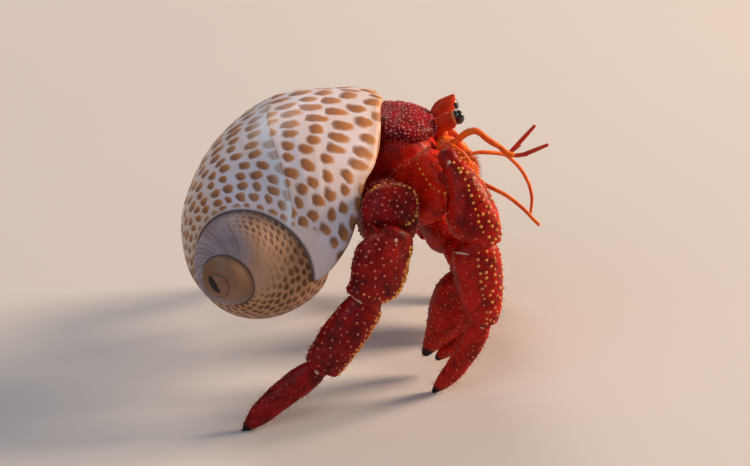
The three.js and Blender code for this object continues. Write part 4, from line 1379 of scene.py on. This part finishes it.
def walking_leg(leg, outward):
    """One leg: five joints with their granules, soft skin and knobs between them, and its bristles."""
    pair = leg[:4]
    rules = {"leg2": SECOND_LEG, "leg3": THIRD_LEG}[pair]
    settings = {joint: dict(values) for joint, values in LEG_SETTINGS.items()}
    settings["merus"]["end"] = MERUS_END[pair]
    settings["carpus"]["end"] = "short" if leg == SHARPLY_BENT else "cup"
    limbs = chain(leg, JOINTS, outward, settings)
    # painted light and shade: the second legs' thighs take a brighter copy of the leg skin, the third legs a
    # darker one
    skins = {"merus": "thigh_painted_light_skin"} if pair == "leg2" else {}
    hairs, soft = [], []
    for k, (joint, limb) in enumerate(zip(JOINTS, limbs)):
        blocks = [limb_block(limb, tip_from=HORN_FROM if joint == "dactylus" else None)]
        if joint in rules:
            blocks += granules(limb, rules[joint])
            hairs += [bristles(limb, 2.6, edge, 0.35, 0.9, k) for edge in (0.0, math.pi)]
            hairs.append(bristles(limb, 0.8, OUTER, 0.9, 0.45, k))
        skin = skins.get(joint, "leg_skin" if pair == "leg2" else "back_leg_painted_shade_skin")
        settle(joined(limb.node + "_shell", blocks, SKIN[skin]), "leg", limb.node)
    if pair == "leg2":
        hairs.append(bristles(limbs[1], 6.0, math.pi, 0.08, 0.9, 5))
    for inner, outer in zip(limbs[1:], limbs[2:]):
        soft += [membrane_block(inner, outer), knob_block(outer)]
    settle(joined(f"{leg}_soft_joints", soft, SKIN["joint_membrane"]), "soft_body")
    settle(joined(f"{leg}_bristles", hairs, SKIN["bristle_hair"], uv_name="OFBake"), "leg")
    return sum(limb.length for limb in limbs)


SIDES = {"right": RIGHT, "left": LEFT}
for side, outward in SIDES.items():
    for pair in ("leg2", "leg3"):
        print(f"{pair}_{side} is {walking_leg(f'{pair}_{side}', outward):.1f} mm long")

# %% [markdown]
# ## The claws
# Each claw arm has three joints and a hand.  The hand's palm runs out into a fixed finger, and the free
# finger closes against it with a row of blunt teeth.  The left hand is the large one that shuts the shell's
# door, so it is the most thickly studded piece of the crab.

# %% Claw arms
ARM_JOINTS = ["ischium", "merus", "carpus", "palm"]
TEETH_FROM, TEETH_TO, TOOTH_RADIUS = 0.55, 0.93, 0.33
TEETH_APART, TEETH_SHRINK = 2.1, 0.45  # in radii, and as a share of the first tooth
FINGERS = {"end": "point", "degree": 4, "crest": 0.02}
FINGER_EDGE = np.array([0.6, 0.0, -0.8])
SLIM_SHARE = 0.8  # granules of a finger or merus, against those of the rest of the arm
FINE_SPACING, FINE_SIZE = 0.55, 0.45  # the finer granules of the large arm, against its others
# the large arm is folded more sharply, so its joints end earlier and its palm starts later
ARM_SETTINGS = {
    "right": {"ischium": "dome", "merus": "dome", "carpus": "dome", "neck": "round"},
    "left": {"ischium": "dome", "merus": "short", "carpus": "short", "neck": "late"},
}


def teeth_block(limb, around):
    """Blunt teeth along the edge that closes against the other finger."""
    t = np.arange(TEETH_FROM, TEETH_TO, TEETH_APART * TOOTH_RADIUS / limb.length)
    size = TOOTH_RADIUS * (1 - TEETH_SHRINK * (t - TEETH_FROM) / (TEETH_TO - TEETH_FROM))
    return domes(limb, limb.place_of(t), np.full(len(t), around), size, height=1.0, lean=0.0, gold=0.6)


def claw_arm(side, spacing, radius, fine):
    """One claw arm with its granules, teeth, soft joints and bristles; fine says whether it has a second,
    finer set of granules."""
    arm, outward = f"cheliped_{side}", SIDES[side]
    ends = ARM_SETTINGS[side]
    settings = {joint: {"end": ends[joint]} for joint in ARM_JOINTS[:-1]}
    limbs = chain(arm, ARM_JOINTS, outward, settings | {"palm": FINGERS | {"neck": ends["neck"]}})
    broad = outward + SIDE_FORWARD * AHEAD
    finger = Limb(f"{arm}_finger", f"{arm}_carpus", f"{arm}_finger", FINGER_EDGE, broad, **FINGERS)
    hairs = []
    for k, limb in enumerate([*limbs, finger]):
        pointed = limb.node.endswith(("palm", "finger"))
        blocks = [limb_block(limb, tip_from=HORN_FROM if pointed else None)]
        if k:
            size = radius * (SLIM_SHARE if limb.node.endswith(("finger", "merus")) else 1.0)
            last_t = LAST_T["point" if pointed else "cup"]
            keep = band(0.0, ALL, limb.place_of(SCATTER_T), limb.place_of(last_t))
            blocks.append(domes(limb, *scatter(limb, spacing, keep), size, gold=0.25))
            if fine:
                found = scatter(limb, FINE_SPACING * spacing, keep)
                blocks.append(domes(limb, *found, FINE_SIZE * size, gold=0.1))
            hairs.append(bristles(limb, 2.2, rng.uniform(0, 6), 3.0, 0.5, k))
            hairs.append(bristles(limb, 1.5, math.pi, 0.3, 0.8, k))
        if pointed:
            blocks.append(teeth_block(limb, math.pi if limb is finger else 0.0))
        settle(joined(limb.node + "_shell", blocks, SKIN["claw_skin"]), "claw", limb.node)
    soft = [membrane_block(a, b) for a, b in zip(limbs, limbs[1:])] + [knob_block(b) for b in limbs[1:]]
    settle(joined(f"{arm}_soft_joints", soft, SKIN["joint_membrane"]), "soft_body")
    settle(joined(f"{arm}_bristles", hairs, SKIN["bristle_hair"], uv_name="OFBake"), "claw")
    return limbs[-1].length


print(f"right palm {claw_arm('right', 1.3, 0.16, fine=False):.1f} mm long")
print(f"left palm {claw_arm('left', 1.2, 0.3, fine=True):.1f} mm long")

# %% [markdown]
# ## The front of the body
# The fore body is one tube, smooth on its flanks, whose brighter red is a painted glow of warm light.  On it
# lies the shield, a dome with a shallow groove across it and a granular side wall that comes down over the
# fore body.


# %% Shield
class Shield(Limb):
    """The plate on the back: a half oval across, with a low wall under it, and both swell in the middle."""

    WALL = 1.5  # height of the wall under the dome's edge, in millimetres
    LEAN = 0.16  # how far the wall leans in, as a share of the width
    RISE = 0.9  # height of the dome at its top, as a share of the CAD piece's
    # the dome is highest at TOP and has lost FALL of its height FALL_REACH from there; it is widest at
    # WIDEST, and would close to nothing WIDTH_REACH from there
    TOP, FALL, FALL_REACH = 0.34, 0.85, 0.74
    WIDEST, WIDTH_REACH = 0.42, 0.68
    GROOVE_T, GROOVE_ARC, GROOVE_DEPTH, GROOVE_WIDTH, SWELLING = 0.36, 0.10, 0.05, 0.06, 0.04

    def __init__(self, node):
        low, high = (np.array(c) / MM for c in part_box(node))
        self.node = node
        self.way, self.deep, self.broad = AHEAD, UP, RIGHT
        self.length, self.base = high[0] - low[0], low[0]
        self.half_width, self.height = (high[1] - low[1]) / 2, high[2] - low[2]
        self.centre_y, self.edge = (high[1] + low[1]) / 2, low[2]
        places = [0, 0, 0.01, 0.08, 0.5, 0.88, 0.99, 1.03, 1.04]
        self.set_outline(places, [0, 0.5, 0.9, 1, 1, 1, 0.93, 0.7, 0])

    def sizes(self, t):
        """Height of the dome over its edge, a parabola, and half its width, part of an oval."""
        height = self.RISE * self.height * (1 - self.FALL * ((t - self.TOP) / self.FALL_REACH) ** 2)
        across = (np.clip(t, 0, 1) - self.WIDEST) / self.WIDTH_REACH
        return [height, self.half_width * np.sqrt(1 - across**2)]

    def middle(self, t):
        """Middle of the edge at t."""
        across = np.full(np.shape(t), self.centre_y)
        return np.stack([self.base + t * self.length, across, np.full(np.shape(t), self.edge)], -1)

    def skin(self, place, around):
        """The dome above its edge; below it, a squarer wall that leans in under it."""
        t, size = self.along(place)
        height, width = self.sizes(t)
        c, s = np.cos(around), np.sin(around)
        below = np.abs(np.minimum(c, 0))
        rise = np.where(c > 0, height * np.abs(c) ** 0.8, -self.WALL * below**0.6)
        rise = rise * (1 + self.relief(t, around))
        across = width * np.sign(s) * np.abs(s) ** np.where(c > 0, 1.0, 0.5) * (1 - self.LEAN * below)
        return self.middle(t) + (rise * size)[..., None] * self.deep + (across * size)[..., None] * self.broad

    def relief(self, t, around):
        """A groove that crosses the dome in a shallow arc, and two low swellings before it."""
        groove = t - self.GROOVE_T - self.GROOVE_ARC * np.cos(2 * around)
        swelling = self.SWELLING * np.cos(4 * around) * ramp(t, 0.45, 0.7)
        dip = self.GROOVE_DEPTH * bell(groove, 0.0, self.GROOVE_WIDTH)
        return swelling - dip * ramp(np.cos(around), 0.1, 0.5)


shield = Shield("carapace_shield")
shield_blocks = [limb_block(shield, rows=120, columns=120)]
for half_width, spacing, radius in ((1.45, 1.3, 0.22), (2.3, 0.9, 0.14)):
    found = scatter(shield, spacing, band(0.0, half_width, 0.04, 0.95))
    shield_blocks.append(domes(shield, *found, radius, gold=0.1))
settle(joined("shield_plate", shield_blocks, SKIN["shield_skin"]), "carapace", "carapace_shield")

# %% Fore body
fore_body = Limb(
    "cephalothorax", "abdomen", "carapace_shield", UP, RIGHT, degree=4, swell=1.1, lumps=0.10, fullness=3.3
)
fore_body.set_outline(
    [0, 0.004, 0.03, 0.09, 0.25, 0.5, 0.8, 0.93, 0.98, 1], [0, 0.3, 0.65, 0.9, 1, 1, 1, 0.9, 0.65, 0]
)
body_blocks = [limb_block(fore_body, rows=120, columns=110)]
# a close row of granules along each upper edge, and scattered ones on the flanks:
# (angle, half width, first and last place, spacing, radius, gold, partly a painted glint of warm light)
for angle, half_width, low, high, spacing, radius, gold in (
    (0.75, 0.16, 0.3, 0.86, 0.7, 0.12, 0.3),
    (-0.75, 0.16, 0.3, 0.86, 0.7, 0.12, 0.3),
    (math.pi, 2.3, 0.3, 0.93, 1.6, 0.11, 0.15),
):
    found = scatter(fore_body, spacing, band(angle, half_width, low, high))
    body_blocks.append(domes(fore_body, *found, radius, gold=gold))
settle(joined("fore_body", body_blocks, SKIN["flank_painted_glow_skin"]), "carapace", "cephalothorax")
print("shield", round(shield.length, 1), "mm long; fore body", round(fore_body.length, 1), "mm")

# %% [markdown]
# ### Soft hind body
# The soft hind body fills the shell behind the crab's back.  It has no clear outline, so a copy of the CAD
# piece is enough: its corners are melted into a smooth skin by remeshing it finely and relaxing it.

# %% Hind body
VOXEL, RELAXING = 0.45 * MM, 12
hind_mesh = frame["nodes"]["abdomen"].data.copy()
work = bmesh.new()
work.from_mesh(hind_mesh)
bmesh.ops.remove_doubles(work, verts=work.verts, dist=1e-6)
work.to_mesh(hind_mesh)
work.free()
hind_mesh.materials.clear()
hind_mesh.materials.append(SKIN["hind_skin"])
hind = add("hind_body", hind_mesh)
melt = hind.modifiers.new("melt", "REMESH")
melt.mode = "VOXEL"
melt.voxel_size = VOXEL
melt.use_smooth_shade = True
relax = hind.modifiers.new("relax", "SMOOTH")
relax.iterations = RELAXING
evaluated = hind.evaluated_get(bpy.context.evaluated_depsgraph_get())
hind.data = bpy.data.meshes.new_from_object(evaluated)
hind.modifiers.clear()
settle(hind, "soft_body", "abdomen")
print("hind body:", len(hind.data.polygons), "faces")

# %% [markdown]
# ## The head
# The head is small and crowded: two flattened eye stalks that end in black corneas, two bent feelers with
# blunt whips, two long feelers that droop, and orange mouthparts beneath.  Most of them are tubes along a
# line, so one helper makes them: it lays rings round a path and closes both ends with a round cap.


# %% Tubes along a path
STRIPE = 0.8


def tube_block(path, deep, broad, columns=20, rows=None, waves=0.0, count=0, stripe=False):
    """A closed tube along a smooth curve through path: its middle plus half its depth times the cosine one
    way and half its breadth times the sine the other.  count rings of height waves run round it, both ends
    close in a quarter circle, and a stripe darkens its lower side."""
    rows = rows or max(24, 4 * count + 10)
    line = curve_through(path, rows)
    sizes = curve_through(np.stack([np.asarray(deep), np.asarray(broad)], -1), rows)
    way = unit(np.gradient(line, axis=0))
    side = unit(np.cross(way, UP))
    height = np.cross(side, way)
    travelled = np.concatenate([[0], np.cumsum(np.linalg.norm(np.diff(line, axis=0), axis=1))])
    left = travelled[-1] - travelled
    cap = np.sqrt(np.clip(1 - (1 - np.clip(travelled / sizes[0].mean(), 0, 1)) ** 2, 0, 1))
    cap *= np.sqrt(np.clip(1 - (1 - np.clip(left / sizes[-1].mean(), 0, 1)) ** 2, 0, 1))
    scale = (cap * (1 + waves * np.cos(TAU * count * travelled / travelled[-1])))[:, None]
    around = turns(columns)
    points = line[:, None] + (sizes[:, :1] * scale * np.cos(around))[..., None] * height[:, None]
    points = points + (sizes[:, 1:] * scale * np.sin(around))[..., None] * side[:, None]
    lower = STRIPE * stripe * np.tile(ramp(-np.cos(around), 0.0, 0.7), rows - 2)
    return closed_block(points[1:-1], line[[0, -1]], grain=[*lower, 0, 0])


# %% Eyes
# from the middle of each stalk in the CAD model: its path (forward, left, up), half depths and half breadths,
# and then the cornea's three ways and its half sizes along them
STALKS = {
    "right": (
        [(-1.5, 0.4, -1.9), (-0.4, 0.2, -0.9), (0.7, -0.1, -0.2), (1.8, -0.4, 0.45)],
        [1.35, 1.5, 1.6, 1.45],
        [0.9, 1.0, 1.0, 0.95],
    ),
    "left": (
        [(-1.4, -0.3, -2.4), (-0.6, 0.0, -1.0), (0.4, 0.2, 0.3), (1.3, 0.4, 1.5), (1.9, 0.5, 2.5)],
        [1.2, 1.8, 1.8, 1.05, 0.15],
        [0.9, 1.0, 1.0, 0.7, 0.15],
    ),
}
EYES = {
    "right": ([(0.94, -0.2, 0.28), (-0.28, 0.0, 0.96), (0.0, -1.0, 0.0)], (1.15, 1.3, 1.0)),
    "left": ([(0.87, 0.1, 0.49), (-0.49, 0.0, 0.87), (0.0, 1.0, 0.0)], (0.55, 1.2, 0.85)),
}
EYE_BACK = 0.4
RIM_BACK, RIM_SHAPE = 0.55, [0.5, 1.0, 1.0]  # the pale rim behind a cornea, as shares of the cornea's sizes
for side in SIDES:
    path, deep, broad = STALKS[side]
    blocks = [tube_block(centre(f"eyestalk_{side}") + np.array(path), deep, broad, columns=48, rows=60)]
    ways, halves = map(np.array, EYES[side])
    eye_place = centre(f"cornea_{side}") - EYE_BACK * ways[0]
    rim_place = eye_place - RIM_BACK * halves[0] * ways[0]
    blocks.append(ball_block(rim_place, ways, halves * RIM_SHAPE, 30, 44, grain=0.66))
    settle(joined(f"eyestalk_{side}_skin", blocks, SKIN["eyestalk_skin"]), "leg", f"eyestalk_{side}")
    eye = joined(f"eye_{side}", [ball_block(eye_place, ways, halves, 40, 52)], EYE)
    settle(eye, "cornea", f"cornea_{side}")

# %% [markdown]
# Feelers follow the measured middle line of their CAD pieces.  The whips are made of many short rings, so
# their radius waves along them, and each short whip carries a thinner one beside its root.


# %% Feelers
def measured_path(node, before, after, count):
    """Points along the middle of a thin CAD piece, and its radius at each."""
    piece = Limb(node, before, after, UP, RIGHT, degree=7)
    t = np.linspace(0.0, 1.0, count)
    return piece.middle(t), np.minimum(*piece.sizes(t))


STEM_POINTS, WHIP_POINTS = 11, 9
KNUCKLES, KNUCKLE_SWELL = 3, 0.10  # how often a stem swells along its length, and by what share
ROOT_INSIDE, ROOT_SHARE = 0.3, 0.75  # a whip starts inside its stem, and thinner than it goes on
# how much a kind's stem and whip are thickened, the whip's rings and its skin
FEELERS = {"antennule": (1.15, 1.1, 24, "whip_skin"), "antenna": (1.05, 1.0, 46, "feeler_skin")}
# the thin second whip of a short feeler: its path along and away from the first one, and its radii
SLIM_PATH, SLIM_RADII, SLIM_RINGS = [(0, 0), (1.1, 0.35), (2.4, 0.55)], [0.16, 0.15, 0.08], 12


def feeler(side, kind):
    """One feeler: a jointed stem, and a ringed whip that grows out of the stem's end."""
    stem_swell, whip_swell, rings, skin = FEELERS[kind]
    stem_node, whip_node = f"{kind}_{side}_stem", f"{kind}_{side}_whip"
    stem, radius = measured_path(stem_node, "cephalothorax", whip_node, STEM_POINTS)
    knuckles = KNUCKLE_SWELL * np.cos(np.linspace(0, KNUCKLES * TAU, STEM_POINTS))
    thick = radius * stem_swell * (1 + knuckles)
    stem_block = tube_block(stem, thick, thick, rows=70, stripe=True)
    settle(joined(f"{stem_node}_skin", [stem_block], SKIN["feeler_skin"]), "feeler", stem_node)
    whip, radius = measured_path(whip_node, stem_node, whip_node, WHIP_POINTS)
    root = stem[-1] - ROOT_INSIDE * unit(stem[-1] - stem[-2])
    whip = np.concatenate([[root, (root + whip[1]) / 2], whip[2:]])
    radius = radius * whip_swell
    radius[0] *= ROOT_SHARE
    blocks = [tube_block(whip, radius, radius, columns=16, waves=0.06, count=rings)]
    if kind == "antennule":
        along = unit(whip[3] - root)
        away = unit(np.cross(RIGHT, along))
        slim = [root + ahead * along - aside * away for ahead, aside in SLIM_PATH]
        blocks.append(tube_block(slim, SLIM_RADII, SLIM_RADII, columns=12, waves=0.05, count=SLIM_RINGS))
    settle(joined(f"{whip_node}_skin", blocks, SKIN[skin]), "feeler", whip_node)


for side in SIDES:
    for kind in FEELERS:
        feeler(side, kind)
print("feelers: 4 stems and 4 whips")

# %% [markdown]
# ### Face and mouthparts
# Between the eyes and the claws the crab is bright orange: the bases of the feelers, small scales beside
# the eyes, and the lips and feet of the mouth, which are fringed with bristles.

# %% Face
BROW = np.array([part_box("carapace_shield")[1][0] / MM, shield.centre_y, shield.edge])
# path from the brow as (forward, away from the midline, up), half depths and half breadths along it
FACE_SHAPES = [
    ([(0.2, 1.3, -0.3), (1.3, 1.6, 0.0), (2.6, 1.7, 0.25)], [0.7, 0.55, 0.1], [0.7, 0.5, 0.1]),
    ([(0.2, 2.2, -2.6), (1.8, 2.4, -3.0), (3.0, 2.3, -3.4)], [1.5, 1.4, 0.8], [1.2, 1.1, 0.7]),
    (
        [(0.2, 3.9, -2.8), (2.8, 4.8, -3.0), (5.2, 5.2, -4.9), (7.4, 5.2, -8.2)],
        [1.2, 1.0, 0.8, 0.1],
        [0.7, 0.6, 0.4, 0.1],
    ),
    ([(0.0, 3.6, -4.8), (1.8, 4.4, -4.7), (3.2, 4.9, -5.2)], [1.6, 1.5, 1.0], [1.2, 1.2, 0.9]),
    ([(1.2, 1.4, -5.2), (2.8, 1.5, -6.2), (3.4, 1.5, -8.6)], [1.3, 1.4, 0.9], [1.2, 1.2, 0.8]),
    ([(0.6, 2.6, -7.0), (2.2, 2.7, -8.2), (2.6, 2.7, -10.4)], [1.4, 1.4, 0.8], [1.2, 1.2, 0.8]),
]
BEADS, BEAD_HALVES, BEAD_SHRINK = 9, np.array([0.24, 0.22, 0.22]), 0.06
BEAD_OUT, BEAD_UP = 0.9, 0.55  # where the row of beads lies, in mean half sizes of its part
face_blocks = []
# the parts on the left are folded back a little
for outward, reach in ((-1, 1.0), (1, 0.75)):
    for path, deep, broad in FACE_SHAPES:
        points = BROW + np.array(path) * [reach, outward, 1]
        face_blocks.append(tube_block(points, deep, broad, columns=28, rows=30))
        aside = [0, BEAD_OUT * outward * np.mean(broad), BEAD_UP * np.mean(deep)]
        line = curve_through(points, BEADS)[2:-1] + aside
        for k, middle in enumerate(line):
            halves = BEAD_HALVES * (1 - BEAD_SHRINK * k)
            face_blocks.append(ball_block(middle, np.eye(3), halves, 8, 8, grain=1.0))
settle(joined("face_parts", face_blocks, SKIN["face_skin"]), "feeler")

# %% Mouthparts
MOUTH_FOOT_EDGE = np.array([0.6, 0, 0.8])
mouth_hairs = []
for column, (side, outward) in enumerate(SIDES.items()):
    node = f"maxilliped_{side}"
    foot = Limb(node, "cephalothorax", node, MOUTH_FOOT_EDGE, outward, end="point", degree=5, swell=1.05)
    settle(joined(f"{node}_skin", [limb_block(foot, rows=70, columns=40)], SKIN["face_skin"]), "leg", node)
    mouth_hairs += [bristles(foot, 9.0, edge, 0.5, 0.9, column, 0.3, 0.98) for edge in (0.0, OUTER, math.pi)]
settle(joined("mouth_bristles", mouth_hairs, SKIN["bristle_hair"], uv_name="OFBake"), "leg")
print("face and mouthparts made")

# %% [markdown]
# ## The floor
# The floor is only there to catch the shadow.

# %% Floor
floor_material, floor_tree, floor_shader = new_material("pale_floor")
floor_place = wire(floor_tree, "ShaderNodeTexCoord").outputs["Object"]
floor_clouds = noise(floor_tree, floor_place, 6.0)
floor_colour = blend(floor_tree, floor_clouds, rgb(0.55, 0.54, 0.55), rgb(0.60, 0.59, 0.60))
floor_tree.links.new(floor_colour, floor_shader.inputs["Base Color"])
floor_shader.inputs["Roughness"].default_value = 0.8
FLOOR_REACH = 3.0
CORNERS = np.array([(-1, -1, 0), (1, -1, 0), (1, 1, 0), (-1, 1, 0)])
floor = mesh_from(
    "floor",
    FLOOR_REACH * CORNERS,
    [(0, 1, 2, 3)],
    material=floor_material,
)
